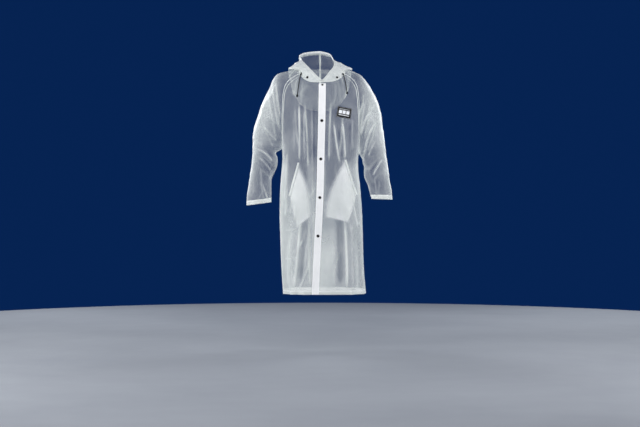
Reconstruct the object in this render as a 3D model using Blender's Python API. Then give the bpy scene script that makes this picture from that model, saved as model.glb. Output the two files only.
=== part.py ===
"""A long translucent raincoat, held up as its wearer holds it: a hollow body, two raglan sleeves,
a hood laid back round the neck, a placket closed with snaps, slanted pockets and a drawcord.

Metres. +Z is up, +Y is behind the wearer, +X is the wearer's left. The origin lies between the
shoulders, level with the foot of the neck. Every panel is a grid of points read from smooth
sections; its wall is those points and the same points moved in by the cloth's thickness.
"""

import math
from types import SimpleNamespace

import bpy
import numpy as np
from mathutils import Vector
from mathutils.bvhtree import BVHTree

# ---- driving sizes -------------------------------------------------------------------------
CLOTH = 0.0012  # thickness of the film's wall
SEAM_GAP = 0.0003  # between two pieces at a seam
HEM_Z = -1.172  # the hem, under the origin
HEM_DEPTH = 0.020  # the turned-in band at the hem
CUFF_DEPTH = 0.022
UNDERARM_Z = {1: -0.436, -1: -0.408}  # of the left and the right side
MIDDLE_UNDERARM_Z = -0.420  # the same row at the middle of the front and back
NECK_Z = {"front": -0.060, "back": 0.012}  # the neckline at the middle
ROUNDNESS = 2.3  # 2 is an ellipse, more is squarer
PLACKET_WIDTH = 0.037
PLACKET_TOP_Z = -0.070
PATCH_MIDDLE = (0.1248, -0.2261)
PATCH_SIZE = (0.0742, 0.0553)
PATCH_TILT = math.radians(-9.2)
WELT_WIDTH = 0.010
CHANNEL_WIDTH = 0.014  # the drawcord's channel along the hood's free edge
CORD_DIAMETER = 0.0044
EYELET_RADIUS, EYELET_HOLE = 0.0052, 0.0029

LEFT, RIGHT = 1, -1
FRONT, BACK = "front", "back"
SIDE_NAME = {LEFT: "left", RIGHT: "right"}

# ---- how fine the grids are ----------------------------------------------------------------
BODY_ROWS = 18  # from the hem band to the underarm
YOKE_STEPS = (0.09, 0.18, 0.28, 0.38, 0.48, 0.58, 0.68, 0.77, 0.83, 0.88, 0.925, 0.965, 1.0)
FRONT_COLUMNS = 11  # beside the placket's own
BACK_COLUMNS = 20
SLEEVE_ROWS = 11  # from the cuff band to the underarm
SLEEVE_COLUMNS = 18
HOOD_TURNS = (0, 10, 21, 32, 43, 52, 60, 67, 75, 84, 94, 104, 111, 117, 122, 133, 145, 157, 169, 180)
HOOD_STEPS = {  # how far along a section each row comes
    FRONT: (0, 0.09, 0.18, 0.27, 0.36, 0.45, 0.54, 0.63, 0.72, 0.82, 0.91, 1),
    BACK: (0, 0.014, 0.034, 0.07, 0.16, 0.27, 0.37, 0.44, 0.51, 0.62, 0.79, 1),
}


class Profile:
    """Sizes in named columns, read smoothly between the rows. The first column is the key."""

    def __init__(self, columns, *rows):
        self.names = columns.split()
        self.rows = np.array(rows, float)
        steps = np.diff(self.rows[:, 0])[:, None]
        rates = np.diff(self.rows, axis=0) / steps
        inner = (rates[:-1] * steps[1:] + rates[1:] * steps[:-1]) / (steps[1:] + steps[:-1])
        self.slopes = np.vstack([rates[:1], inner, rates[-1:]])

    def __call__(self, key):
        keys = self.rows[:, 0]
        i = int(np.clip(np.searchsorted(keys, key) - 1, 0, len(keys) - 2))
        step = keys[i + 1] - keys[i]
        t = min(max((key - keys[i]) / step, 0.0), 1.0)
        low, high = self.rows[i], self.rows[i + 1]
        read = (
            low * (1 + 2 * t) * (1 - t) ** 2
            + high * t * t * (3 - 2 * t)
            + step * t * (1 - t) * (self.slopes[i] * (1 - t) - self.slopes[i + 1] * t)
        )
        return SimpleNamespace(**dict(zip(self.names, read.tolist())))


# ---- sections of the body ------------------------------------------------------------------
# Where the side seams lie at each height.
BODY = Profile(
    "z right left",
    (-1.172, -0.1935, 0.2425),
    (-1.050, -0.2030, 0.2320),
    (-0.890, -0.2095, 0.2265),
    (-0.730, -0.2135, 0.2210),
    (-0.625, -0.2105, 0.2135),
    (-0.530, -0.2040, 0.2030),
    (-0.466, -0.1985, 0.2010),
    (-0.400, -0.2005, 0.2085),
)
# The middle of the front and of the back, seen from the side.
MIDDLE = {
    FRONT: Profile(
        "z y",
        (-1.172, -0.152),
        (-0.950, -0.153),
        (-0.750, -0.156),
        (-0.550, -0.153),
        (-0.420, -0.151),
        (-0.300, -0.153),
        (-0.200, -0.147),
        (-0.120, -0.130),
        (-0.060, -0.108),
    ),
    BACK: Profile(
        "z y",
        (-1.172, 0.154),
        (-0.950, 0.156),
        (-0.750, 0.153),
        (-0.550, 0.140),
        (-0.420, 0.141),
        (-0.300, 0.147),
        (-0.180, 0.140),
        (-0.090, 0.121),
        (-0.030, 0.098),
        (0.012, 0.080),
    ),
}
# The raglan seam, from the underarm (0) to the neckline (1). turn is how far round the body's
# section the seam has come, in degrees from the middle, and lean is how far both sides' seams
# are shifted to the left.
RAGLAN = Profile(
    "up x z front back turn lean",
    (0.00, 0.2045, -0.420, 0.000, 0.000, 90, 0.004),
    (0.12, 0.2055, -0.375, -0.040, 0.044, 75, 0.004),
    (0.25, 0.2055, -0.325, -0.066, 0.072, 68, 0.004),
    (0.40, 0.2050, -0.255, -0.084, 0.093, 62, 0.004),
    (0.55, 0.2020, -0.185, -0.091, 0.103, 60, 0.004),
    (0.68, 0.1980, -0.125, -0.089, 0.103, 59, 0.004),
    (0.78, 0.1890, -0.080, -0.082, 0.098, 58, 0.005),
    (0.86, 0.1710, -0.050, -0.073, 0.091, 58, 0.007),
    (0.93, 0.1430, -0.027, -0.062, 0.082, 59, 0.009),
    (1.00, 0.1090, -0.010, -0.052, 0.072, 60, 0.011),
)
# Each sleeve, from the cuff (0) past the underarm (1) to the neckline (2): its outline's outer
# and inner points seen from the front, its middle's y and its half depth.
SLEEVE = {
    RIGHT: Profile(
        "along outer_x outer_z inner_x inner_z y depth",
        (0.00, 0.3858, -0.7076, 0.2555, -0.6906, -0.062, 0.050),
        (0.16, 0.3832, -0.6570, 0.2560, -0.6440, -0.054, 0.052),
        (0.32, 0.3779, -0.6150, 0.2560, -0.6020, -0.046, 0.055),
        (0.48, 0.3710, -0.5660, 0.2550, -0.5660, -0.034, 0.058),
        (0.62, 0.3655, -0.5200, 0.2390, -0.5300, -0.020, 0.064),
        (0.76, 0.3590, -0.4700, 0.2260, -0.4920, -0.008, 0.070),
        (0.88, 0.3567, -0.4250, 0.2260, -0.4520, -0.002, 0.075),
        (0.95, 0.3567, -0.3980, 0.2310, -0.4260, 0.000, 0.078),
        (1.00, 0.3560, -0.3750, 0.2005, -0.4080, 0.000, 0.080),
        (1.12, 0.3540, -0.3350, 0.2000, -0.3800, 0.001, 0.084),
        (1.25, 0.3450, -0.2880, 0.2000, -0.3300, 0.002, 0.091),
        (1.40, 0.3280, -0.2300, 0.2000, -0.2600, 0.003, 0.098),
        (1.55, 0.3080, -0.1720, 0.2000, -0.1900, 0.005, 0.101),
        (1.68, 0.2820, -0.1150, 0.1900, -0.1300, 0.006, 0.097),
        (1.77, 0.2640, -0.0790, 0.1800, -0.0800, 0.008, 0.091),
        (1.83, 0.2540, -0.0530, 0.1700, -0.0600, 0.008, 0.084),
        (1.88, 0.2410, -0.0280, 0.1600, -0.0450, 0.009, 0.078),
        (1.925, 0.2160, -0.0080, 0.1450, -0.0300, 0.010, 0.071),
        (1.965, 0.1630, 0.0050, 0.1200, -0.0150, 0.010, 0.065),
        (2.00, 0.1030, 0.0160, 0.1000, 0.0000, 0.010, 0.060),
    ),
    LEFT: Profile(
        "along outer_x outer_z inner_x inner_z y depth",
        (0.00, 0.3816, -0.6770, 0.2703, -0.6730, -0.062, 0.050),
        (0.16, 0.3760, -0.6300, 0.2595, -0.6320, -0.054, 0.052),
        (0.32, 0.3700, -0.5900, 0.2500, -0.5970, -0.046, 0.055),
        (0.48, 0.3640, -0.5510, 0.2350, -0.5620, -0.034, 0.058),
        (0.62, 0.3588, -0.5090, 0.2316, -0.5300, -0.020, 0.064),
        (0.76, 0.3530, -0.4650, 0.2340, -0.5050, -0.008, 0.070),
        (0.88, 0.3480, -0.4240, 0.2263, -0.4820, -0.002, 0.075),
        (0.95, 0.3445, -0.3950, 0.2230, -0.4600, 0.000, 0.078),
        (1.00, 0.3410, -0.3700, 0.2085, -0.4360, 0.000, 0.080),
        (1.12, 0.3360, -0.3270, 0.2080, -0.4000, 0.001, 0.084),
        (1.25, 0.3310, -0.2830, 0.2080, -0.3400, 0.002, 0.091),
        (1.40, 0.3240, -0.2270, 0.2080, -0.2700, 0.003, 0.098),
        (1.55, 0.3090, -0.1690, 0.2080, -0.2000, 0.005, 0.101),
        (1.68, 0.2850, -0.1150, 0.2000, -0.1300, 0.006, 0.097),
        (1.77, 0.2640, -0.0780, 0.1900, -0.0900, 0.008, 0.091),
        (1.83, 0.2500, -0.0560, 0.1750, -0.0650, 0.008, 0.084),
        (1.88, 0.2340, -0.0350, 0.1650, -0.0500, 0.009, 0.078),
        (1.925, 0.2110, -0.0140, 0.1500, -0.0350, 0.010, 0.071),
        (1.965, 0.1720, 0.0030, 0.1250, -0.0180, 0.010, 0.065),
        (2.00, 0.1240, 0.0140, 0.1000, 0.0000, 0.010, 0.060),
    ),
}
# The placket's middle, seen from the front.
PLACKET = Profile(
    "z x",
    (-1.172, -0.0245),
    (-0.867, -0.0104),
    (-0.667, -0.0010),
    (-0.467, 0.0042),
    (-0.268, 0.0093),
    (-0.060, 0.0125),
)

# ---- the largest folds ---------------------------------------------------------------------
# A fold of the body runs from its top to its low end. Angles are in degrees round the body:
# 0 is the middle of the front, 90 the left side seam and 180 the middle of the back.
BODY_FOLDS = [
    dict(zip("top_z top_angle top_height low_z low_angle low_height width".split(), row))
    for row in (
        (-0.16, 26, 0.000, -0.47, 33, 0.011, 8),
        (-0.14, -30, 0.001, -0.49, -33, 0.010, 8),
        (-0.20, -13, 0.000, -0.62, -14, 0.004, 6),
        (-0.66, 40, 0.000, -1.45, 34, 0.022, 9),
        (-0.70, -42, 0.000, -1.45, -43, 0.022, 8),
        (-0.74, -19, 0.000, -1.45, -24, 0.015, 7),
        (-0.60, 66, 0.000, -1.45, 60, 0.015, 9),
        (-0.60, -73, 0.000, -1.45, -68, 0.013, 9),
        (-0.50, 104, 0.001, -1.45, 112, 0.016, 10),
        (-0.36, 137, 0.002, -1.45, 133, 0.020, 10),
        (-0.26, 163, 0.002, -1.45, 159, 0.016, 9),
        (-0.24, -165, 0.002, -1.45, -171, 0.017, 9),
        (-0.36, -140, 0.002, -1.45, -146, 0.020, 10),
        (-0.50, -108, 0.001, -1.45, -116, 0.015, 10),
    )
]
# A fold of a sleeve runs along it from one place to another. along is as in SLEEVE, and around
# goes from -1 at the front or inner edge, past 0 outside, to 1 at the back edge.
SLEEVE_FOLDS = {
    LEFT: [
        dict(zip("along around end_along end_around width height".split(), row))
        for row in (
            (1.60, -0.66, 1.06, -0.60, 0.13, 0.009),
            (1.50, -0.34, 1.00, -0.42, 0.14, 0.008),
            (0.88, -0.78, 0.60, -0.36, 0.14, 0.009),
            (0.62, -0.82, 0.42, -0.40, 0.13, 0.008),
            (1.55, 0.64, 1.05, 0.58, 0.13, 0.008),
            (1.50, 0.30, 0.95, 0.36, 0.14, 0.007),
            (0.84, 0.76, 0.58, 0.34, 0.14, 0.008),
        )
    ],
    RIGHT: [
        dict(zip("along around end_along end_around width height".split(), row))
        for row in (
            (1.64, -0.68, 1.10, -0.64, 0.13, 0.009),
            (1.54, -0.38, 1.04, -0.46, 0.14, 0.008),
            (0.92, -0.34, 0.72, -0.78, 0.14, 0.009),
            (0.66, -0.36, 0.50, -0.76, 0.13, 0.007),
            (1.55, 0.64, 1.05, 0.58, 0.13, 0.008),
            (1.50, 0.30, 0.95, 0.36, 0.14, 0.007),
            (0.86, 0.36, 0.66, 0.78, 0.14, 0.008),
        )
    ],
}


def blend(low, high, share):
    return low + (high - low) * share


def ease(share):
    share = min(max(share, 0.0), 1.0)
    return share * share * (3 - 2 * share)


def body_fold(angle, z):
    """How far the body's cloth stands out at this angle and height."""
    out = 0.0
    for fold in BODY_FOLDS:
        share = (fold["top_z"] - z) / (fold["top_z"] - fold["low_z"])
        if not -0.15 < share < 1.2:
            continue
        off = angle - blend(fold["top_angle"], fold["low_angle"], share)
        off = (off + 180) % 360 - 180
        height = blend(fold["top_height"], fold["low_height"], ease(share))
        ends = ease((share + 0.15) / 0.3) * ease((1.2 - share) / 0.4)
        out += height * ends * math.exp(-((off / fold["width"]) ** 2))
    return out


def sleeve_fold(side, along, around):
    """How far a sleeve's cloth stands out there. Nothing at its seam."""
    out = 0.0
    for fold in SLEEVE_FOLDS[side]:
        run = Vector((fold["end_along"] - fold["along"], fold["end_around"] - fold["around"]))
        here = Vector((along - fold["along"], around - fold["around"]))
        share = here.dot(run) / run.length_squared
        if not -0.25 < share < 1.25:
            continue
        off = (here - run * share).length
        ends = ease((share + 0.25) / 0.5) * ease((1.25 - share) / 0.5)
        out += fold["height"] * ends * math.exp(-((off / fold["width"]) ** 2))
    return out * (1 - abs(around) ** 6)


# ---- surfaces ------------------------------------------------------------------------------
def body_edge(side, up):
    """The end of a body row: the side seam from the hem (up 0) to the underarm (1), then the
    raglan seam to the neckline (2)."""
    if up <= 1:
        z = blend(HEM_Z, UNDERARM_Z[side], up)
        row = BODY(z)
        x = row.left if side == LEFT else row.right
        return SimpleNamespace(x=x, z=z, front=0.0, back=0.0, turn=90.0)
    row = RAGLAN(up - 1)
    row.x = side * row.x + row.lean
    row.z += (UNDERARM_Z[side] - MIDDLE_UNDERARM_Z) * max(0.0, 1 - (up - 1) / 0.3) ** 2
    return row


def body_point(face, share, up):
    """A point of the front or back. share goes from -1 at the right seam to 1 at the left."""
    side = LEFT if share >= 0 else RIGHT
    edge = body_edge(side, up)
    if up <= 1:
        z = blend(HEM_Z, MIDDLE_UNDERARM_Z, up)
    else:
        z = blend(MIDDLE_UNDERARM_Z, NECK_Z[face], up - 1)
    y = MIDDLE[face](z).y
    edge_y = edge.front if face == FRONT else edge.back
    turn = math.radians(edge.turn)
    angle = abs(share) * turn
    power = 2 / ROUNDNESS
    round_in = (1 - math.cos(angle) ** power) / (1 - math.cos(turn) ** power)
    point = Vector(
        (
            edge.x * (math.sin(angle) / math.sin(turn)) ** power,
            blend(y, edge_y, round_in),
            blend(z, edge.z, share * share),
        )
    )
    degrees = math.degrees(angle)
    where = side * (degrees if face == FRONT else 180 - degrees)
    forward = -1 if face == FRONT else 1
    out = Vector((side * math.sin(angle) * abs(y), forward * math.cos(angle) * abs(edge.x), 0))
    return point + out.normalized() * body_fold(where, point.z)


def sleeve_point(side, along, around):
    """A point of a sleeve. around goes from -1 at its front or inner edge to 1 at the back."""
    row = SLEEVE[side](along)
    outer = Vector((side * row.outer_x, row.y, row.outer_z))
    if along <= 1:
        front_end = back_end = Vector((side * row.inner_x, row.y, row.inner_z))
    else:
        front_end = body_point(FRONT, side, along)
        back_end = body_point(BACK, side, along)
    half = (back_end - front_end) / 2
    depth = max(row.depth, half.length)
    swing = math.pi - math.asin(min(half.length / depth, 1.0))
    across = half.normalized() if half.length > 1e-6 else Vector((0, 1, 0))
    spoke = (outer - (front_end + back_end) / 2) / (1 - math.cos(swing))
    angle = around * swing
    point = outer - spoke + spoke * math.cos(angle) + across * depth * math.sin(angle)
    out = spoke.normalized() * math.cos(angle) / spoke.length + across * math.sin(angle) / depth
    return point + out.normalized() * sleeve_fold(side, along, around)


def front_share(x, up):
    """The share that puts a front point at this x."""
    side = LEFT if x >= 0 else RIGHT
    edge = body_edge(side, up)
    turn = math.radians(edge.turn)
    sine = math.sin(turn) * min(abs(x / edge.x), 1.0) ** (ROUNDNESS / 2)
    return side * math.asin(min(sine, 1.0)) / turn


# ---- walls ---------------------------------------------------------------------------------
def grid_normals(points, inside):
    """A unit normal at each point of a grid, away from inside."""
    normals = np.cross(np.gradient(points, axis=0), np.gradient(points, axis=1))
    normals /= np.linalg.norm(normals, axis=2, keepdims=True)
    if (normals * (points - inside)).sum() < 0:
        normals = -normals
    return normals


def material_of(name, colour, roughness, alpha=1.0, metallic=0.0):
    material = bpy.data.materials.get(name)
    if material is None:
        material = bpy.data.materials.new(name)
        material.use_nodes = True
        shader = material.node_tree.nodes["Principled BSDF"]
        shader.inputs["Base Color"].default_value = (*colour, 1)
        shader.inputs["Roughness"].default_value = roughness
        shader.inputs["Metallic"].default_value = metallic
        shader.inputs["Alpha"].default_value = alpha
    return material


def film():
    return material_of("frosted_film", (0.86, 0.90, 0.92), 0.38, alpha=0.55)


def white_film():
    return material_of("white_film", (0.93, 0.94, 0.96), 0.42)


def black_plastic():
    return material_of("black_plastic", (0.012, 0.012, 0.014), 0.32)


def black_cord():
    return material_of("black_cord", (0.020, 0.020, 0.022), 0.85)


def patch_black():
    return material_of("patch", (0.020, 0.021, 0.024), 0.55)


def add_object(name, vertices, faces, material, smooth=True):
    mesh = bpy.data.meshes.new(name)
    mesh.from_pydata([tuple(v) for v in vertices], [], faces)
    mesh.update()
    made = bpy.data.objects.new(name, mesh)
    bpy.context.scene.collection.objects.link(made)
    mesh.materials.append(material)
    if smooth:
        mesh.shade_smooth()
        mesh.set_sharp_from_angle(angle=math.radians(40))
    return made


def wall(name, outer, normals, thickness, material):
    """A closed wall from a grid of outer points, as thick as said along the normals."""
    rows, columns = outer.shape[:2]
    inner = outer - normals * thickness
    count = rows * columns

    def outside(i, j):
        return i * columns + j

    def within(i, j):
        return count + i * columns + j

    faces = []
    for i in range(rows - 1):
        for j in range(columns - 1):
            for corners in halves(i, j):
                faces.append([outside(*c) for c in corners])
                faces.append([within(*c) for c in reversed(corners)])
    rim = [(0, j) for j in range(columns - 1)]
    rim += [(i, columns - 1) for i in range(rows - 1)]
    rim += [(rows - 1, j) for j in range(columns - 1, 0, -1)]
    rim += [(i, 0) for i in range(rows - 1, 0, -1)]
    for here, there in zip(rim, rim[1:] + rim[:1]):
        faces.append([outside(*there), outside(*here), within(*here), within(*there)])
    middle = (rows // 2, columns // 2)
    turn = np.cross(
        outer[middle[0], middle[1] - 1] - outer[middle], outer[middle[0] - 1, middle[1]] - outer[middle]
    )
    if turn.dot(normals[middle]) < 0:
        faces = [face[::-1] for face in faces]
    vertices = np.concatenate([outer.reshape(-1, 3), inner.reshape(-1, 3)])
    return add_object(name, vertices, faces, material)


def halves(i, j):
    """The two triangles of a grid's cell."""
    a, b, c, d = (i, j), (i, j + 1), (i + 1, j + 1), (i + 1, j)
    return (a, b, c), (a, c, d)


class Surface:
    """The outer faces of some grids, to lay smaller pieces on as they are seen from the front."""

    def __init__(self, *grids):
        points, triangles = [], []
        for points_of in grids:
            rows, columns = points_of.shape[:2]
            first = len(points)
            points += [Vector(p) for p in points_of.reshape(-1, 3)]
            for i in range(rows - 1):
                for j in range(columns - 1):
                    for corners in halves(i, j):
                        triangles.append([first + r * columns + c for r, c in corners])
        self.tree = BVHTree.FromPolygons(points, triangles)

    def hit(self, x, z):
        """The front-most point at x and z, or None beside the grids."""
        return self.tree.ray_cast(Vector((x, -1, z)), Vector((0, 1, 0)))[0]

    def covers(self, x, z, reach=0.004):
        return all(self.hit(x + i * reach, z + k * reach) for i in (-1, 1) for k in (-1, 1))

    def normal(self, x, z, reach=0.004):
        """Out of the surface, from the slope within reach of x and z."""
        across = self.hit(x + reach, z) - self.hit(x - reach, z)
        upward = self.hit(x, z + reach) - self.hit(x, z - reach)
        return across.cross(upward).normalized()

    def at(self, x, z, out):
        return self.hit(x, z) + self.normal(x, z) * out


def drawn_in(points, first_column=0.0, last_column=0.0):
    """The grid with its end columns moved in along its rows, which leaves a gap at a seam."""
    points = points.copy()
    for column, beside, distance in ((0, 1, first_column), (-1, -2, last_column)):
        into = points[:, beside] - points[:, column]
        into /= np.linalg.norm(into, axis=1, keepdims=True)
        points[:, column] += into * distance
    return points


def front_normal(share, up, step=0.01):
    across = body_point(FRONT, share + step, up) - body_point(FRONT, share - step, up)
    upward = body_point(FRONT, share, up) - body_point(FRONT, share, up - step)
    return across.cross(upward).normalized()


def grid(rows, columns, point):
    return np.array([[point(a, b) for b in columns] for a in rows])


# ---- the panels ----------------------------------------------------------------------------
def body_rows():
    band = HEM_DEPTH / (MIDDLE_UNDERARM_Z - HEM_Z)
    lower = [0.0, *np.linspace(band, 1, BODY_ROWS)]
    return lower, [1 + step for step in YOKE_STEPS]


def sleeve_rows(side):
    cuff = SLEEVE[side](0)
    above = SLEEVE[side](0.16)
    length = abs(above.outer_z - cuff.outer_z)
    return [0.0, *np.linspace(0.16 * CUFF_DEPTH / length, 1, SLEEVE_ROWS)]


def front_grid(side):
    """A front panel, from its edge at the placket to its seams. The right one lies under."""
    lower, upper = body_rows()
    half = PLACKET_WIDTH / 2
    rows = []
    for up in lower + upper:
        z = body_point(FRONT, 0, up).z
        middle = PLACKET(z).x
        starts = (-side * half, 0.0, side * half)
        row = []
        for offset in starts:
            share = front_share(middle + offset, up)
            point = body_point(FRONT, share, up)
            if side == RIGHT:
                point -= front_normal(share, up) * (CLOTH + SEAM_GAP)
            row.append(point)
        first = front_share(middle + side * (half + 0.014), up)
        for k in range(FRONT_COLUMNS + 1):
            row.append(body_point(FRONT, blend(first, side, k / FRONT_COLUMNS), up))
        rows.append(row)
    return np.array(rows)


def back_grid():
    lower, upper = body_rows()
    shares = np.linspace(-1, 1, BACK_COLUMNS + 1)
    return grid(lower + upper, shares, lambda up, share: body_point(BACK, share, up))


def sleeve_grid(side):
    _, upper = body_rows()
    rows = sleeve_rows(side) + upper
    around = np.linspace(-1, 1, SLEEVE_COLUMNS + 1)
    return grid(rows, around, lambda along, a: sleeve_point(side, along, a))


def sleeve_middles(points):
    """The middle of each ring of a sleeve, as a grid."""
    return np.broadcast_to(points.mean(axis=1, keepdims=True), points.shape)


def unit(vectors):
    return vectors / np.linalg.norm(vectors, axis=-1, keepdims=True)


def share_seam_normals(normals, underarm):
    """Gives both sides of each seam one normal, so that the walls meet on a mitre."""
    for side in (LEFT, RIGHT):
        front = normals["front", side]
        back = normals["back"]
        sleeve = normals["sleeve", side]
        ring = sleeve.shape[0] - len(YOKE_STEPS) - 1
        edge = -1 if side == LEFT else 0
        side_seam = unit(front[:underarm, -1] + back[:underarm, edge])
        front[:underarm, -1] = back[:underarm, edge] = side_seam
        tube = unit(sleeve[:ring, 0] + sleeve[:ring, -1])
        sleeve[:ring, 0] = sleeve[:ring, -1] = tube
        front_raglan = unit(front[underarm + 1 :, -1] + sleeve[ring + 1 :, 0])
        front[underarm + 1 :, -1] = sleeve[ring + 1 :, 0] = front_raglan
        back_raglan = unit(back[underarm + 1 :, edge] + sleeve[ring + 1 :, -1])
        back[underarm + 1 :, edge] = sleeve[ring + 1 :, -1] = back_raglan
        # All four panels meet at the underarm, where outside the cloth is straight down.
        front[underarm, -1] = back[underarm, edge] = (0, 0, -1)
        sleeve[ring, 0] = sleeve[ring, -1] = (0, 0, -1)


def make_panels():
    """The fronts, the back and the sleeves. Returns their grids and normals."""
    points = {("front", side): front_grid(side) for side in (LEFT, RIGHT)}
    points["back"] = back_grid()
    points.update({("sleeve", side): sleeve_grid(side) for side in (LEFT, RIGHT)})
    axis = {key: g * (0, 0, 1) for key, g in points.items()}
    for side in (LEFT, RIGHT):
        axis["sleeve", side] = sleeve_middles(points["sleeve", side])
    normals = {key: grid_normals(g, axis[key]) for key, g in points.items()}
    underarm = BODY_ROWS
    share_seam_normals(normals, underarm)
    half = SEAM_GAP / 2
    for side in (LEFT, RIGHT):
        points["front", side] = drawn_in(points["front", side], 0, half)
        points["sleeve", side] = drawn_in(points["sleeve", side], half, half)
        ring = len(points["sleeve", side]) - len(YOKE_STEPS) - 1
        points["sleeve", side][ring, [0, -1], 0] += side * SEAM_GAP
        points["front", side][underarm, -1, 0] -= side * SEAM_GAP
        points["back"][underarm, -1 if side == LEFT else 0, 0] -= side * SEAM_GAP
    points["back"] = drawn_in(points["back"], half, half)
    for key, g in points.items():
        name = key if key == "back" else f"{key[0]}_{SIDE_NAME[key[1]]}"
        wall(name, g, normals[key], CLOTH, film())
    return points, normals


def make_bands(points, normals):
    """The turned-in bands at the hem and the cuffs, inside the panels' own points."""
    inward = CLOTH + SEAM_GAP
    for key, g in points.items():
        if key == "back":
            name = "hem_back"
        elif key[0] == "front":
            name = f"hem_front_{SIDE_NAME[key[1]]}"
        else:
            name = f"cuff_{SIDE_NAME[key[1]]}"
        # The right front's edge lies inside the left one, where the left one has no band.
        first = 3 if key == ("front", LEFT) else 0
        outer = g[:2, first:] - normals[key][:2, first:] * inward
        wall(name, outer, normals[key][:2, first:], CLOTH, white_film())


def make_placket(points, normals):
    """The strip over the left front's edge, from the neck to the hem."""
    top = sum(1 for z in points["front", LEFT][:, 1, 2] if z < PLACKET_TOP_Z)
    outer = points["front", LEFT][:top, :3]
    up = normals["front", LEFT][:top, :3]
    outer = outer + up * (CLOTH + SEAM_GAP)
    wall("placket", outer, up, CLOTH, white_film())
    return outer


# ---- hood ----------------------------------------------------------------------------------
HOOD_OVERLAP = 0.013  # how far the hood's lower edge laps over the coat's neckline
HOOD_OVERLAP_FRONT = 0.006  # the same at the middle of the front
HOOD_CLEARANCE = 0.0010
FRONT_TURN, BACK_TURN = 60, 122  # where the raglan seams come, in degrees round the neck
# The hood's free edge. 0 is the point of the V at the front, 180 the middle behind.
HOOD_EDGE = {
    RIGHT: Profile(
        "turn x y z",
        (0, 0.0115, -0.1150, -0.0550),
        (15, -0.0105, -0.1030, -0.0340),
        (35, -0.0366, -0.0810, -0.0055),
        (60, -0.0765, -0.0400, 0.0390),
        (85, -0.0930, 0.0050, 0.0600),
        (100, -0.1010, 0.0300, 0.0760),
        (113, -0.1120, 0.0500, 0.0920),
        (126, -0.0960, 0.0680, 0.1060),
        (145, -0.0660, 0.0830, 0.1150),
        (180, 0.0000, 0.0950, 0.1225),
    ),
    LEFT: Profile(
        "turn x y z",
        (0, 0.0115, -0.1150, -0.0550),
        (15, 0.0315, -0.0950, -0.0300),
        (35, 0.0525, -0.0620, 0.0000),
        (60, 0.0712, -0.0220, 0.0275),
        (85, 0.0740, 0.0120, 0.0560),
        (110, 0.0700, 0.0420, 0.0770),
        (140, 0.0540, 0.0720, 0.1040),
        (180, 0.0000, 0.0950, 0.1225),
    ),
}
# How far each section of the hood leaves the straight line from the neckline to its free edge,
# at four places along it. x is away from the middle.
HOOD_SECTION = Profile(
    "turn x1 y1 z1 x2 y2 z2 x3 y3 z3 x4 y4 z4",
    (0, 0, 0, 0, 0, 0, 0, 0, 0, 0, 0, 0, 0),
    (20, 0.001, -0.002, 0, 0.002, -0.003, 0, 0.002, -0.003, 0, 0.001, -0.002, 0),
    (40, 0.003, -0.004, 0, 0.005, -0.007, 0, 0.005, -0.007, 0, 0.003, -0.004, 0),
    (60, 0.010, -0.006, -0.001, 0.017, -0.010, -0.002, 0.016, -0.009, 0, 0.009, -0.005, 0),
    (75, 0.034, -0.004, -0.004, 0.052, -0.006, -0.012, 0.042, -0.004, -0.008, 0.020, 0, -0.001),
    (90, 0.042, 0.004, -0.006, 0.066, 0.008, -0.018, 0.049, 0.010, -0.012, 0.022, 0.006, -0.002),
    (
        110,
        *(0.046, 0.030, -0.022, 0.060, 0.048, -0.044),
        *(0.040, 0.055, -0.036, 0.004, 0.032, -0.014),
    ),
    (
        135,
        *(0.034, 0.056, -0.070, 0.048, 0.090, -0.160),
        *(0.045, 0.104, -0.105, 0.016, 0.064, -0.036),
    ),
    (
        160,
        *(0.015, 0.066, -0.127, 0.031, 0.093, -0.234),
        *(0.036, 0.125, -0.162, 0.018, 0.082, -0.052),
    ),
    (180, 0, 0.066, -0.144, 0, 0.092, -0.251, 0, 0.127, -0.178, 0, 0.084, -0.055),
)


def round_neck(side, turn, up):
    """A point of the coat this many degrees round the neck, on the row up (2 is the neckline).
    0 is the placket's middle."""
    if turn <= FRONT_TURN:
        start = front_share(PLACKET(NECK_Z[FRONT]).x, up)
        return body_point(FRONT, blend(start, side, turn / FRONT_TURN), up)
    if turn >= BACK_TURN:
        return body_point(BACK, side * (180 - turn) / (180 - BACK_TURN), up)
    around = blend(-1, 1, (turn - FRONT_TURN) / (BACK_TURN - FRONT_TURN))
    return sleeve_point(side, up, around)


def over_neckline(side, turn, drop, out):
    """A point over the coat, this far below its neckline and outside it."""
    probe = 0.03
    here = round_neck(side, turn, 2)
    below = round_neck(side, turn, 2 - probe)
    up = 2 - probe * drop / (here - below).length
    step = 2.0
    after = round_neck(side, min(turn + step, 180), up)
    before = round_neck(side, max(turn - step, 0), up)
    normal = (after - before).cross(here - below).normalized() * side
    return round_neck(side, turn, up) + normal * out


def lap_clearance(turn):
    """The lap's outer face over the coat, more where the raglan seams end behind."""
    return CLOTH + HOOD_CLEARANCE + 0.0009 * math.exp(-(((turn - BACK_TURN) / 12) ** 2))


def hood_overlap(turn):
    return blend(HOOD_OVERLAP_FRONT, HOOD_OVERLAP, ease(turn / 30))


def hood_stations(side, turn):
    """The places a section of the hood passes through. Behind the shoulders it first rolls over
    above the neckline, and so clears its own lapped edge on the way down."""
    start = over_neckline(side, turn, 0, lap_clearance(turn))
    edge = HOOD_EDGE[side](turn)
    end = Vector((edge.x, edge.y, edge.z))
    row = HOOD_SECTION(turn)
    stations = [start]
    rolled = ease((turn - 62) / 25)
    if rolled > 0:
        away = Vector((start.x, start.y, 0)).normalized()
        straight = start.lerp(end, 0.1)
        stations.append(straight.lerp(start + away * 0.007 + Vector((0, 0, 0.009)), rolled))
    for k in range(1, 5):
        off = Vector((side * getattr(row, f"x{k}"), getattr(row, f"y{k}"), getattr(row, f"z{k}")))
        stations.append(start.lerp(end, k / 5) + off)
    return [*stations, end]


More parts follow.
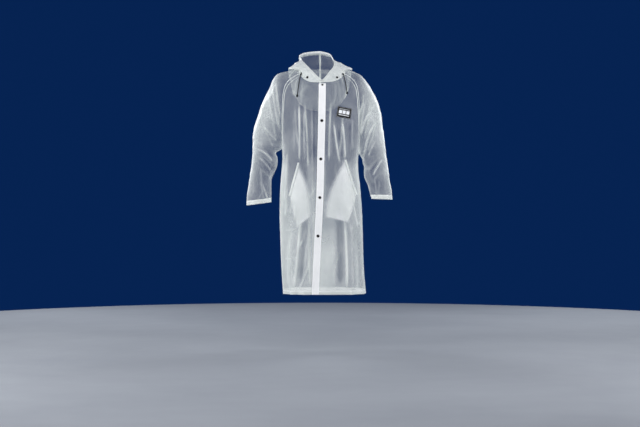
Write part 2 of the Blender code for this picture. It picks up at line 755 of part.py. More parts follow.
def smooth_path(stations, samples=12):
    """Points on a centripetal Catmull-Rom curve through the stations, and how far along each is."""
    ends = [stations[0] * 2 - stations[1], *stations, stations[-1] * 2 - stations[-2]]
    points = []
    for a, b, c, d in zip(ends, ends[1:], ends[2:], ends[3:]):
        t0 = 0.0
        t1 = t0 + max((b - a).length, 1e-6) ** 0.5
        t2 = t1 + max((c - b).length, 1e-6) ** 0.5
        t3 = t2 + max((d - c).length, 1e-6) ** 0.5
        for k in range(samples):
            t = t1 + (t2 - t1) * k / samples
            ab = a.lerp(b, (t - t0) / (t1 - t0))
            bc = b.lerp(c, (t - t1) / (t2 - t1))
            cd = c.lerp(d, (t - t2) / (t3 - t2))
            abc = ab.lerp(bc, (t - t0) / (t2 - t0))
            bcd = bc.lerp(cd, (t - t1) / (t3 - t1))
            points.append(abc.lerp(bcd, (t - t1) / (t2 - t1)))
    points.append(stations[-1])
    lengths = [(b - a).length for a, b in zip(points, points[1:])]
    return np.array(points), np.concatenate([[0], np.cumsum(lengths)])


def hood_grid(side):
    """Rows run round the neck, from the lapped lower edge to the free edge."""
    columns = []
    for turn in HOOD_TURNS:
        path, far = smooth_path(hood_stations(side, turn))
        last = far[-1] - min(CHANNEL_WIDTH, 0.4 * far[-1])
        behind = ease((turn - 60) / 30)
        wanted = [last * blend(f, b, behind) for f, b in zip(HOOD_STEPS[FRONT], HOOD_STEPS[BACK])]
        lap = over_neckline(side, turn, hood_overlap(turn), lap_clearance(turn))
        column = [[np.interp(w, far, path[:, k]) for k in range(3)] for w in [*wanted, far[-1]]]
        columns.append([lap, *column])
    return np.array(columns).transpose(1, 0, 2)


def make_hood():
    """Both halves of the hood and the channel inside its free edge."""
    grids, normals = {}, {}
    for side in (LEFT, RIGHT):
        grids[side] = hood_grid(side)
        across, along = np.gradient(grids[side], axis=1), np.gradient(grids[side], axis=0)
        normals[side] = unit(np.cross(across, along)) * side
    for column in (0, -1):
        shared = unit(normals[LEFT][:, column] + normals[RIGHT][:, column])
        normals[LEFT][:, column] = normals[RIGHT][:, column] = shared
    for side in (LEFT, RIGHT):
        points = grids[side] = drawn_in(grids[side], SEAM_GAP, SEAM_GAP / 2)
        wall(f"hood_{SIDE_NAME[side]}", points, normals[side], CLOTH, film())
        inner = points[-2:] - normals[side][-2:] * (CLOTH + SEAM_GAP)
        name = f"hood_channel_{SIDE_NAME[side]}"
        wall(name, inner, normals[side][-2:], CLOTH, white_film())
    return grids


# ---- pockets and patch ---------------------------------------------------------------------
# Each pocket's bag inside the front, from its top to its bottom. Its outer edge is the opening
# down to half way. x is away from the middle.
POCKET = {
    LEFT: Profile(
        "down inner_x inner_z outer_x outer_z",
        (0.00, 0.1230, -0.4690, 0.1322, -0.4705),
        (0.15, 0.1060, -0.5050, 0.1435, -0.5060),
        (0.30, 0.0830, -0.5480, 0.1570, -0.5480),
        (0.50, 0.0560, -0.6060, 0.1755, -0.6060),
        (0.67, 0.0400, -0.6540, 0.1905, -0.6530),
        (0.80, 0.0270, -0.7000, 0.1815, -0.7000),
        (0.92, 0.0215, -0.7440, 0.1630, -0.7600),
        (1.00, 0.0200, -0.7700, 0.1480, -0.7990),
    ),
    RIGHT: Profile(
        "down inner_x inner_z outer_x outer_z",
        (0.00, 0.1040, -0.4850, 0.1115, -0.4860),
        (0.15, 0.0950, -0.5200, 0.1215, -0.5220),
        (0.30, 0.0800, -0.5560, 0.1312, -0.5580),
        (0.50, 0.0600, -0.6120, 0.1465, -0.6140),
        (0.67, 0.0500, -0.6550, 0.1590, -0.6600),
        (0.80, 0.0460, -0.6950, 0.1520, -0.7100),
        (0.92, 0.0450, -0.7350, 0.1350, -0.7800),
        (1.00, 0.0450, -0.7650, 0.1234, -0.8300),
    ),
}
LAID_GAP = 0.0009  # under a piece laid on a folded panel


def laid_wall(name, places, surface, out, material):
    """A wall over a grid of (x, z) places, this far outside the surface."""
    points = np.array([[surface.at(x, z, out) for x, z in row] for row in places])
    normals = np.array([[surface.normal(x, z) for x, z in row] for row in places])
    return wall(name, points, normals, CLOTH, material)


def make_pocket(side, surface):
    profile = POCKET[side]
    rows = []
    for down in np.linspace(0, 1, 11):
        row = profile(down)
        rows.append(
            [
                (
                    side * blend(row.inner_x, row.outer_x, share),
                    blend(row.inner_z, row.outer_z, share),
                )
                for share in np.linspace(0, 1, 6)
            ]
        )
    laid_wall(f"pocket_{SIDE_NAME[side]}", rows, surface, -CLOTH - LAID_GAP, film())
    top, end = profile(0), profile(0.67)
    run = Vector((side * (end.outer_x - top.outer_x), end.outer_z - top.outer_z))
    across = Vector((-run.y, run.x)).normalized() * WELT_WIDTH / 2
    start = Vector((side * top.outer_x, top.outer_z))
    rows = []
    for share in np.linspace(0, 1, 12):
        middle = start + run * share
        rows.append([tuple(middle - across), tuple(middle), tuple(middle + across)])
    name = f"pocket_welt_{SIDE_NAME[side]}"
    laid_wall(name, rows, surface, LAID_GAP + CLOTH, white_film())


def make_patch(surface):
    cos, sin = math.cos(PATCH_TILT), math.sin(PATCH_TILT)
    rows = []
    for v in np.linspace(-0.5, 0.5, 5):
        row = []
        for u in np.linspace(-0.5, 0.5, 6):
            x, z = u * PATCH_SIZE[0], v * PATCH_SIZE[1]
            row.append((PATCH_MIDDLE[0] + x * cos - z * sin, PATCH_MIDDLE[1] + x * sin + z * cos))
        rows.append(row)
    laid_wall("chest_patch", rows, surface, LAID_GAP + CLOTH, patch_black())


# ---- snaps, eyelets and drawcord -----------------------------------------------------------
SNAP = ((0.0, 0.0027), (0.0041, 0.0025), (0.0062, 0.0016), (0.0070, 0.0), (0.0, 0.0))
# Each snap's name, x, z and scale.
PLACKET_SNAPS = (
    ("snap_1", 0.0125, -0.0790, 0.75),
    ("snap_2", 0.0093, -0.2682, 1.0),
    ("snap_3", 0.0041, -0.4674, 1.0),
    ("snap_4", -0.0010, -0.6675, 1.0),
    ("snap_5", -0.0104, -0.8667, 1.0),
)
HOOD_SNAPS = (("hood_snap_right", -0.0659, -0.0375, 0.9), ("hood_snap_left", 0.0895, -0.0375, 0.9))
EYELET_TURN = 56  # where a drawcord leaves the hood's lap, in degrees round the neck
CORD_ENDS = {RIGHT: (-0.1160, -0.1330), LEFT: (0.1385, -0.1180)}  # x and z


def lathe(name, profile, sides, middle, axis, material, scale=1.0):
    """A closed turned piece. A profile that starts and ends on the axis is a solid, any other
    is a ring."""
    axis = axis.normalized()
    one = axis.orthogonal().normalized()
    two = axis.cross(one)
    solid = profile[0][0] == 0
    rings, vertices = [], []
    for radius, height in profile:
        if radius == 0:
            rings.append([len(vertices)] * sides)
            vertices.append(middle + axis * height * scale)
            continue
        rings.append(list(range(len(vertices), len(vertices) + sides)))
        for k in range(sides):
            angle = 2 * math.pi * k / sides
            spoke = one * math.cos(angle) + two * math.sin(angle)
            vertices.append(middle + (spoke * radius + axis * height) * scale)
    if not solid:
        rings.append(rings[0])
    faces = []
    for above, below in zip(rings, rings[1:]):
        for k in range(sides):
            n = (k + 1) % sides
            corners = dict.fromkeys((above[k], below[k], below[n], above[n]))
            faces.append(list(corners))
    return add_object(name, vertices, faces, material)


def make_snaps(placket, hood):
    for surface, snaps in ((placket, PLACKET_SNAPS), (hood, HOOD_SNAPS)):
        for name, x, z, scale in snaps:
            normal = surface.normal(x, z, 0.004)
            base = surface.hit(x, z) + normal * 0.0008
            lathe(name, SNAP, 12, base, normal, black_plastic(), scale)


def make_cord(side, hood, coat):
    """An eyelet on the hood, the cord that hangs out of it over the front, and its end piece."""
    end_x, end_z = CORD_ENDS[side]
    name = SIDE_NAME[side]
    drop = HOOD_OVERLAP / 2
    lap = over_neckline(side, EYELET_TURN, drop, lap_clearance(EYELET_TURN))
    normal = (lap - over_neckline(side, EYELET_TURN, drop, 0)).normalized()
    base = lap + normal * 0.0005
    x, z = base.x, base.z
    ring = (
        (EYELET_RADIUS, 0.0003),
        (EYELET_RADIUS, 0.0),
        (EYELET_HOLE, 0.0),
        (EYELET_HOLE, 0.0010),
        (0.0042, 0.0012),
    )
    lathe(f"eyelet_{name}", ring, 12, base, normal, black_plastic())
    radius = CORD_DIAMETER / 2
    path = [base + normal * 0.0002, base + normal * 0.0030]
    steps = 14
    for k in range(1, steps + 1):
        share = k / steps
        px = blend(x, end_x, share) + side * 0.002 * math.sin(math.pi * share)
        pz = blend(z - 0.004, end_z, share)
        # It leaves the eyelet in a bend, and its end piece holds it off the cloth.
        out = radius + 0.0010 + 0.0030 * (1 - share) ** 2 + 0.0042 * share**3
        path.append(min((s.at(px, pz, out) for s in (hood, coat) if s.covers(px, pz)), key=lambda p: p.y))
    for _ in range(2):  # take the corners off the run, and keep its two ends
        path[2:-1] = [(a + b * 2 + c) / 4 for a, b, c in zip(path[1:], path[2:], path[3:])]
    curve = bpy.data.curves.new(f"drawcord_{name}", "CURVE")
    curve.dimensions = "3D"
    spline = curve.splines.new("POLY")
    spline.points.add(len(path) - 1)
    for point, place in zip(spline.points, path):
        point.co = (*place, 1)
    curve.bevel_depth = radius
    curve.bevel_resolution = 2
    curve.use_fill_caps = True
    curve.materials.append(black_cord())
    made = bpy.data.objects.new(f"drawcord_{name}", curve)
    bpy.context.scene.collection.objects.link(made)
    down = (path[-1] - path[-2]).normalized()
    bead = (
        *((0.0, 0.0130), (0.0044, 0.0120), (0.0052, 0.0085)),
        *((0.0046, 0.0035), (0.0030, 0.0), (0.0, 0.0)),
    )
    lathe(f"cord_end_{name}", bead, 10, path[-1] + down * 0.0004, down, black_plastic())


# ---- run -----------------------------------------------------------------------------------
def clear_scene():
    for made in list(bpy.data.objects):
        bpy.data.objects.remove(made)


def main():
    clear_scene()
    points, normals = make_panels()
    make_bands(points, normals)
    placket = Surface(make_placket(points, normals))
    fronts = Surface(points["front", LEFT], points["front", RIGHT])
    hood = Surface(*make_hood().values())
    for side in (LEFT, RIGHT):
        make_pocket(side, fronts)
        make_cord(side, hood, fronts)
    make_patch(fronts)
    make_snaps(placket, hood)


main()
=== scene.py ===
"""The looks of the translucent raincoat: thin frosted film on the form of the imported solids.

Metres. +Z is up, +Y is behind the wearer, +X is the wearer's left. The surfaces are read from the
same sizes as the solids, on finer grids, and carry the smaller creases, the welded seams and the
turned-in bands. A crease is a soft ridge or trough between two places of its panel.
"""

import math
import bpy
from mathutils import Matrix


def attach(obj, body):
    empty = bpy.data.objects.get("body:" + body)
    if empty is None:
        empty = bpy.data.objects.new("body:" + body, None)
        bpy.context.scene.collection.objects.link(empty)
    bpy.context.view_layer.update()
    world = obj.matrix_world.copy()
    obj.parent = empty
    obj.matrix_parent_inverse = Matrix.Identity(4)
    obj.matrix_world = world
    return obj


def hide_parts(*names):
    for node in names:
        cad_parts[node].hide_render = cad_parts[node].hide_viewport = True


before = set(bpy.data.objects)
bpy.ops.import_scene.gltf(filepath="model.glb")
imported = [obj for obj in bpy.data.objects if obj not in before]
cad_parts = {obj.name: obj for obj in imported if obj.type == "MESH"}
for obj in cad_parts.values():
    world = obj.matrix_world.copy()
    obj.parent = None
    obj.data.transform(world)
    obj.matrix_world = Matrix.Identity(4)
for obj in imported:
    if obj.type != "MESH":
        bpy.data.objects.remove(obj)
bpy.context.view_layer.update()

from types import SimpleNamespace

import bmesh
import bpy
import numpy as np
from mathutils import Vector
from mathutils.bvhtree import BVHTree

LEFT, RIGHT = 1, -1
FRONT, BACK = "front", "back"
SIDE_NAME = {LEFT: "left", RIGHT: "right"}

# ---- sizes of the solids -------------------------------------------------------------------
CLOTH = 0.0012  # thickness of a solid's wall
SEAM_GAP = 0.0003  # between two walls that lie on each other
HEM_Z = -1.172
HEM_DEPTH = 0.020
CUFF_DEPTH = 0.022
UNDERARM_Z = {LEFT: -0.436, RIGHT: -0.408}
MIDDLE_UNDERARM_Z = -0.420
NECK_Z = {FRONT: -0.060, BACK: 0.012}
ROUNDNESS = 2.3  # of a section: 2 is an ellipse, more is squarer
PLACKET_WIDTH = 0.037
PLACKET_TOP_Z = -0.070
PATCH_MIDDLE = (0.1248, -0.2261)
PATCH_SIZE = (0.0742, 0.0553)
PATCH_TILT = math.radians(-9.2)
WELT_WIDTH = 0.010
CHANNEL_WIDTH = 0.014
CORD_DIAMETER = 0.0044
EYELET_RADIUS, EYELET_HOLE = 0.0052, 0.0029

# ---- sizes of the looks --------------------------------------------------------------------
FILM = 0.0004  # thickness of a film's shell
WELD = 0.0034  # width of a welded seam


class Profile:
    """Sizes in named columns, read smoothly between the rows. The first column is the key."""

    def __init__(self, columns, *rows):
        self.names = columns.split()
        self.rows = np.array(rows, float)
        steps = np.diff(self.rows[:, 0])[:, None]
        rates = np.diff(self.rows, axis=0) / steps
        inner = (rates[:-1] * steps[1:] + rates[1:] * steps[:-1]) / (steps[1:] + steps[:-1])
        self.slopes = np.vstack([rates[:1], inner, rates[-1:]])

    def __call__(self, key):
        key = np.asarray(key, float)
        keys = self.rows[:, 0]
        i = np.clip(np.searchsorted(keys, key) - 1, 0, len(keys) - 2)
        step = keys[i + 1] - keys[i]
        t = np.clip((key - keys[i]) / step, 0.0, 1.0)[..., None]
        step = step[..., None]
        low, high = self.rows[i], self.rows[i + 1]
        read = (
            low * (1 + 2 * t) * (1 - t) ** 2
            + high * t * t * (3 - 2 * t)
            + step * t * (1 - t) * (self.slopes[i] * (1 - t) - self.slopes[i + 1] * t)
        )
        return SimpleNamespace(**{name: read[..., k] for k, name in enumerate(self.names)})


def table(columns, *rows):
    """A record for each row, with its values under the columns' names."""
    return [SimpleNamespace(**dict(zip(columns.split(), row))) for row in rows]


# ---- sections of the body and the sleeves --------------------------------------------------
# Where the side seams lie at each height.
BODY = Profile(
    "z right left",
    (-1.172, -0.1935, 0.2425),
    (-1.050, -0.2030, 0.2320),
    (-0.890, -0.2095, 0.2265),
    (-0.730, -0.2135, 0.2210),
    (-0.625, -0.2105, 0.2135),
    (-0.530, -0.2040, 0.2030),
    (-0.466, -0.1985, 0.2010),
    (-0.400, -0.2005, 0.2085),
)
# The middle of the front and of the back, seen from the side.
MIDDLE = {
    FRONT: Profile(
        "z y",
        (-1.172, -0.152),
        (-0.950, -0.153),
        (-0.750, -0.156),
        (-0.550, -0.153),
        (-0.420, -0.151),
        (-0.300, -0.153),
        (-0.200, -0.147),
        (-0.120, -0.130),
        (-0.060, -0.108),
    ),
    BACK: Profile(
        "z y",
        (-1.172, 0.154),
        (-0.950, 0.156),
        (-0.750, 0.153),
        (-0.550, 0.140),
        (-0.420, 0.141),
        (-0.300, 0.147),
        (-0.180, 0.140),
        (-0.090, 0.121),
        (-0.030, 0.098),
        (0.012, 0.080),
    ),
}
# The raglan seam, from the underarm (0) to the neckline (1).
RAGLAN = Profile(
    "up x z front back turn lean",
    (0.00, 0.2045, -0.420, 0.000, 0.000, 90, 0.004),
    (0.12, 0.2055, -0.375, -0.040, 0.044, 75, 0.004),
    (0.25, 0.2055, -0.325, -0.066, 0.072, 68, 0.004),
    (0.40, 0.2050, -0.255, -0.084, 0.093, 62, 0.004),
    (0.55, 0.2020, -0.185, -0.091, 0.103, 60, 0.004),
    (0.68, 0.1980, -0.125, -0.089, 0.103, 59, 0.004),
    (0.78, 0.1890, -0.080, -0.082, 0.098, 58, 0.005),
    (0.86, 0.1710, -0.050, -0.073, 0.091, 58, 0.007),
    (0.93, 0.1430, -0.027, -0.062, 0.082, 59, 0.009),
    (1.00, 0.1090, -0.010, -0.052, 0.072, 60, 0.011),
)
# The sleeves, from the cuff (0) past the underarm (1) to the neckline (2): what both share, then
# the outer and the inner edge of the right and of the left one, as far from the middle.
SLEEVE = Profile(
    "along y depth "
    "right_outer_x right_outer_z right_inner_x right_inner_z "
    "left_outer_x left_outer_z left_inner_x left_inner_z",
    (0.00, -0.062, 0.050, 0.3858, -0.7076, 0.2555, -0.6906, 0.3816, -0.6770, 0.2703, -0.6730),
    (0.16, -0.054, 0.052, 0.3832, -0.6570, 0.2560, -0.6440, 0.3760, -0.6300, 0.2595, -0.6320),
    (0.32, -0.046, 0.055, 0.3779, -0.6150, 0.2560, -0.6020, 0.3700, -0.5900, 0.2500, -0.5970),
    (0.48, -0.034, 0.058, 0.3710, -0.5660, 0.2550, -0.5660, 0.3640, -0.5510, 0.2350, -0.5620),
    (0.62, -0.020, 0.064, 0.3655, -0.5200, 0.2390, -0.5300, 0.3588, -0.5090, 0.2316, -0.5300),
    (0.76, -0.008, 0.070, 0.3590, -0.4700, 0.2260, -0.4920, 0.3530, -0.4650, 0.2340, -0.5050),
    (0.88, -0.002, 0.075, 0.3567, -0.4250, 0.2260, -0.4520, 0.3480, -0.4240, 0.2263, -0.4820),
    (0.95, 0.000, 0.078, 0.3567, -0.3980, 0.2310, -0.4260, 0.3445, -0.3950, 0.2230, -0.4600),
    (1.00, 0.000, 0.080, 0.3560, -0.3750, 0.2005, -0.4080, 0.3410, -0.3700, 0.2085, -0.4360),
    (1.12, 0.001, 0.084, 0.3540, -0.3350, 0.2000, -0.3800, 0.3360, -0.3270, 0.2080, -0.4000),
    (1.25, 0.002, 0.091, 0.3450, -0.2880, 0.2000, -0.3300, 0.3310, -0.2830, 0.2080, -0.3400),
    (1.40, 0.003, 0.098, 0.3280, -0.2300, 0.2000, -0.2600, 0.3240, -0.2270, 0.2080, -0.2700),
    (1.55, 0.005, 0.101, 0.3080, -0.1720, 0.2000, -0.1900, 0.3090, -0.1690, 0.2080, -0.2000),
    (1.68, 0.006, 0.097, 0.2820, -0.1150, 0.1900, -0.1300, 0.2850, -0.1150, 0.2000, -0.1300),
    (1.77, 0.008, 0.091, 0.2640, -0.0790, 0.1800, -0.0800, 0.2640, -0.0780, 0.1900, -0.0900),
    (1.83, 0.008, 0.084, 0.2540, -0.0530, 0.1700, -0.0600, 0.2500, -0.0560, 0.1750, -0.0650),
    (1.88, 0.009, 0.078, 0.2410, -0.0280, 0.1600, -0.0450, 0.2340, -0.0350, 0.1650, -0.0500),
    (1.925, 0.010, 0.071, 0.2160, -0.0080, 0.1450, -0.0300, 0.2110, -0.0140, 0.1500, -0.0350),
    (1.965, 0.010, 0.065, 0.1630, 0.0050, 0.1200, -0.0150, 0.1720, 0.0030, 0.1250, -0.0180),
    (2.00, 0.010, 0.060, 0.1030, 0.0160, 0.1000, 0.0000, 0.1240, 0.0140, 0.1000, 0.0000),
)
# The placket's middle, seen from the front.
PLACKET = Profile(
    "z x",
    (-1.172, -0.0245),
    (-0.867, -0.0104),
    (-0.667, -0.0010),
    (-0.467, 0.0042),
    (-0.268, 0.0093),
    (-0.060, 0.0125),
)

# ---- the solids' own folds -----------------------------------------------------------------
# Angles are in degrees round the body: 0 is the middle of the front, 90 the left side seam.
BODY_FOLDS = table(
    "top_z top_angle top_height low_z low_angle low_height width",
    (-0.16, 26, 0.000, -0.47, 33, 0.011, 8),
    (-0.14, -30, 0.001, -0.49, -33, 0.010, 8),
    (-0.20, -13, 0.000, -0.62, -14, 0.004, 6),
    (-0.66, 40, 0.000, -1.45, 34, 0.022, 9),
    (-0.70, -42, 0.000, -1.45, -43, 0.022, 8),
    (-0.74, -19, 0.000, -1.45, -24, 0.015, 7),
    (-0.60, 66, 0.000, -1.45, 60, 0.015, 9),
    (-0.60, -73, 0.000, -1.45, -68, 0.013, 9),
    (-0.50, 104, 0.001, -1.45, 112, 0.016, 10),
    (-0.36, 137, 0.002, -1.45, 133, 0.020, 10),
    (-0.26, 163, 0.002, -1.45, 159, 0.016, 9),
    (-0.24, -165, 0.002, -1.45, -171, 0.017, 9),
    (-0.36, -140, 0.002, -1.45, -146, 0.020, 10),
    (-0.50, -108, 0.001, -1.45, -116, 0.015, 10),
)
# On a sleeve a fold runs between two places, each said as along and around.
SLEEVE_FOLD = "along around end_along end_around width height"
SLEEVE_FOLDS = {
    LEFT: table(
        SLEEVE_FOLD,
        (1.60, -0.66, 1.06, -0.60, 0.13, 0.009),
        (1.50, -0.34, 1.00, -0.42, 0.14, 0.008),
        (0.88, -0.78, 0.60, -0.36, 0.14, 0.009),
        (0.62, -0.82, 0.42, -0.40, 0.13, 0.008),
        (1.55, 0.64, 1.05, 0.58, 0.13, 0.008),
        (1.50, 0.30, 0.95, 0.36, 0.14, 0.007),
        (0.84, 0.76, 0.58, 0.34, 0.14, 0.008),
    ),
    RIGHT: table(
        SLEEVE_FOLD,
        (1.64, -0.68, 1.10, -0.64, 0.13, 0.009),
        (1.54, -0.38, 1.04, -0.46, 0.14, 0.008),
        (0.92, -0.34, 0.72, -0.78, 0.14, 0.009),
        (0.66, -0.36, 0.50, -0.76, 0.13, 0.007),
        (1.55, 0.64, 1.05, 0.58, 0.13, 0.008),
        (1.50, 0.30, 0.95, 0.36, 0.14, 0.007),
        (0.86, 0.36, 0.66, 0.78, 0.14, 0.008),
    ),
}


def blend(low, high, share):
    return low + (high - low) * share


def ease(share):
    share = np.clip(share, 0.0, 1.0)
    return share * share * (3 - 2 * share)


def ramp(value, none, full):
    """0 at none and 1 at full, smoothly between and level beyond. Either may be the larger."""
    return ease((value - none) / (full - none))


def bell(value, middle, width):
    """1 at the middle, fading away to both sides."""
    return np.exp(-(((value - middle) / width) ** 2))


def unit(vectors):
    return vectors / np.maximum(np.linalg.norm(vectors, axis=-1, keepdims=True), 1e-12)


def point(x, y, z):
    return np.stack(np.broadcast_arrays(x, y, z), axis=-1)


def body_fold(angle, z):
    """How far the body's cloth stands out at this angle and height."""
    out = 0.0
    for fold in BODY_FOLDS:
        share = (fold.top_z - z) / (fold.top_z - fold.low_z)
        off = angle - blend(fold.top_angle, fold.low_angle, share)
        off = (off + 180) % 360 - 180
        height = blend(fold.top_height, fold.low_height, ease(share))
        ends = ramp(share, -0.15, 0.15) * ramp(share, 1.2, 0.8)
        out = out + height * ends * bell(off, 0, fold.width)
    return out


def sleeve_fold(side, along, around):
    """How far a sleeve's cloth stands out there. Nothing at its seam."""
    out = 0.0
    for fold in SLEEVE_FOLDS[side]:
        run = np.array([fold.end_along - fold.along, fold.end_around - fold.around])
        a, b = along - fold.along, around - fold.around
        share = (a * run[0] + b * run[1]) / (run @ run)
        off = np.hypot(a - run[0] * share, b - run[1] * share)
        ends = ramp(share, -0.25, 0.25) * ramp(share, 1.25, 0.75)
        out = out + fold.height * ends * bell(off, 0, fold.width)
    return out * (1 - np.abs(around) ** 6)


# ---- surfaces ------------------------------------------------------------------------------
def body_edge(side, up):
    """The end of a body row: the side seam from the hem (up 0) to the underarm (1), then the
    raglan seam to the neckline (2)."""
    low_z = blend(HEM_Z, UNDERARM_Z[side], np.minimum(up, 1))
    low = BODY(low_z)
    high = RAGLAN(np.maximum(up - 1, 0))
    lift = (UNDERARM_Z[side] - MIDDLE_UNDERARM_Z) * np.maximum(0, 1 - (up - 1) / 0.3) ** 2
    below = up <= 1
    return SimpleNamespace(
        x=np.where(below, low.left if side == LEFT else low.right, side * high.x + high.lean),
        z=np.where(below, low_z, high.z + lift),
        front=np.where(below, 0.0, high.front),
        back=np.where(below, 0.0, high.back),
        turn=np.where(below, 90.0, high.turn),
    )


def body_point(face, share, up):
    """A point of the front or back. share goes from -1 at the right seam to 1 at the left."""
    share, up = np.broadcast_arrays(np.asarray(share, float), np.asarray(up, float))
    left, right = vars(body_edge(LEFT, up)), vars(body_edge(RIGHT, up))
    edge = SimpleNamespace(**{k: np.where(share >= 0, left[k], right[k]) for k in left})
    side = np.where(share >= 0, LEFT, RIGHT)
    z = np.where(
        up <= 1,
        blend(HEM_Z, MIDDLE_UNDERARM_Z, up),
        blend(MIDDLE_UNDERARM_Z, NECK_Z[face], up - 1),
    )
    y = MIDDLE[face](z).y
    edge_y = edge.front if face == FRONT else edge.back
    turn = np.radians(edge.turn)
    angle = np.abs(share) * turn
    power = 2 / ROUNDNESS
    cos_angle, cos_turn = np.maximum(np.cos(angle), 0), np.maximum(np.cos(turn), 0)
    round_in = (1 - cos_angle**power) / (1 - cos_turn**power)
    place = point(
        edge.x * (np.sin(angle) / np.sin(turn)) ** power,
        blend(y, edge_y, round_in),
        blend(z, edge.z, share * share),
    )
    degrees = np.degrees(angle)
    where = side * (degrees if face == FRONT else 180 - degrees)
    forward = -1 if face == FRONT else 1
    out = point(side * np.sin(angle) * np.abs(y), forward * np.cos(angle) * np.abs(edge.x), 0.0)
    return place + unit(out) * body_fold(where, place[..., 2])[..., None]


def sleeve_point(side, along, around):
    """A point of a sleeve. around goes from -1 at its front or inner edge to 1 at the back."""
    along, around = np.broadcast_arrays(np.asarray(along, float), np.asarray(around, float))
    row = SLEEVE(along)
    outer, inner = (
        point(side * getattr(row, f"{name}_x"), row.y, getattr(row, f"{name}_z"))
        for name in (f"{SIDE_NAME[side]}_outer", f"{SIDE_NAME[side]}_inner")
    )
    below = (along <= 1)[..., None]
    front_end = np.where(below, inner, body_point(FRONT, float(side), np.maximum(along, 1)))
    back_end = np.where(below, inner, body_point(BACK, float(side), np.maximum(along, 1)))
    half = (back_end - front_end) / 2
    long = np.linalg.norm(half, axis=-1)
    depth = np.maximum(row.depth, long)
    swing = math.pi - np.arcsin(np.minimum(long / depth, 1.0))
    across = np.where((long > 1e-6)[..., None], unit(half), np.array([0.0, 1.0, 0.0]))
    spoke = (outer - (front_end + back_end) / 2) / (1 - np.cos(swing))[..., None]
    angle = around * swing
    cos, sin = np.cos(angle)[..., None], np.sin(angle)[..., None]
    place = outer - spoke + spoke * cos + across * depth[..., None] * sin
    far = np.linalg.norm(spoke, axis=-1, keepdims=True)
    out = unit(spoke) * cos / far + across * sin / depth[..., None]
    return place + unit(out) * sleeve_fold(side, along, around)[..., None]


def front_share(x, up):
    """The share that puts a front point at this x."""
    left, right = body_edge(LEFT, up), body_edge(RIGHT, up)
    edge_x = np.where(x >= 0, left.x, right.x)
    turn = np.radians(left.turn)
    sine = np.sin(turn) * np.minimum(np.abs(x / edge_x), 1.0) ** (ROUNDNESS / 2)
    return np.where(x >= 0, 1, -1) * np.arcsin(np.minimum(sine, 1.0)) / turn


# ---- hood ----------------------------------------------------------------------------------
HOOD_OVERLAP = 0.013
HOOD_OVERLAP_FRONT = 0.006
HOOD_CLEARANCE = 0.0010
BACK_CLEARANCE, BACK_REACH = 0.0009, 12  # the lap stands out further near where the sleeve ends
FRONT_TURN, BACK_TURN = 60, 122  # where the sleeve's part of the neckline starts and ends
ROLL_TURNS = (62, 87)  # where the hood starts to roll outward, and where it's rolled in full
ROLL_SHARE, ROLL_OUT, ROLL_UP = 0.1, 0.007, 0.009
LAP_ROWS = 4  # between the lapped edge and the neckline
# The hood's free edge. 0 is the point of the V at the front, 180 the middle behind.
HOOD_EDGE = {
    RIGHT: Profile(
        "turn x y z",
        (0, 0.0115, -0.1150, -0.0550),
        (15, -0.0105, -0.1030, -0.0340),
        (35, -0.0366, -0.0810, -0.0055),
        (60, -0.0765, -0.0400, 0.0390),
        (85, -0.0930, 0.0050, 0.0600),
        (100, -0.1010, 0.0300, 0.0760),
        (113, -0.1120, 0.0500, 0.0920),
        (126, -0.0960, 0.0680, 0.1060),
        (145, -0.0660, 0.0830, 0.1150),
        (180, 0.0000, 0.0950, 0.1225),
    ),
    LEFT: Profile(
        "turn x y z",
        (0, 0.0115, -0.1150, -0.0550),
        (15, 0.0315, -0.0950, -0.0300),
        (35, 0.0525, -0.0620, 0.0000),
        (60, 0.0712, -0.0220, 0.0275),
        (85, 0.0740, 0.0120, 0.0560),
        (110, 0.0700, 0.0420, 0.0770),
        (140, 0.0540, 0.0720, 0.1040),
        (180, 0.0000, 0.0950, 0.1225),
    ),
}
# How far each section of the hood leaves the straight line from the neckline to its free edge.
HOOD_SECTION = Profile(
    "turn x1 y1 z1 x2 y2 z2 x3 y3 z3 x4 y4 z4",
    (0, 0, 0, 0, 0, 0, 0, 0, 0, 0, 0, 0, 0),
    (20, 0.001, -0.002, 0, 0.002, -0.003, 0, 0.002, -0.003, 0, 0.001, -0.002, 0),
    (40, 0.003, -0.004, 0, 0.005, -0.007, 0, 0.005, -0.007, 0, 0.003, -0.004, 0),
    (60, 0.010, -0.006, -0.001, 0.017, -0.010, -0.002, 0.016, -0.009, 0, 0.009, -0.005, 0),
    (75, 0.034, -0.004, -0.004, 0.052, -0.006, -0.012, 0.042, -0.004, -0.008, 0.020, 0, -0.001),
    (90, 0.042, 0.004, -0.006, 0.066, 0.008, -0.018, 0.049, 0.010, -0.012, 0.022, 0.006, -0.002),
    (
        110,
        0.046, 0.030, -0.022, 0.060, 0.048, -0.044, 0.040, 0.055, -0.036, 0.004, 0.032, -0.014,
    ),
    (
        135,
        0.034, 0.056, -0.070, 0.048, 0.090, -0.160, 0.045, 0.104, -0.105, 0.016, 0.064, -0.036,
    ),
    (
        160,
        0.015, 0.066, -0.127, 0.031, 0.093, -0.234, 0.036, 0.125, -0.162, 0.018, 0.082, -0.052,
    ),
    (180, 0, 0.066, -0.144, 0, 0.092, -0.251, 0, 0.127, -0.178, 0, 0.084, -0.055),
)


def round_neck(side, turn, up):
    """A point of the coat this many degrees round the neck, on the row up (2 is the neckline)."""
    if turn <= FRONT_TURN:
        start = front_share(PLACKET(NECK_Z[FRONT]).x, up)
        return body_point(FRONT, blend(start, side, turn / FRONT_TURN), up)
    if turn >= BACK_TURN:
        return body_point(BACK, side * (180 - turn) / (180 - BACK_TURN), up)
    around = blend(-1, 1, (turn - FRONT_TURN) / (BACK_TURN - FRONT_TURN))
    return sleeve_point(side, up, around)


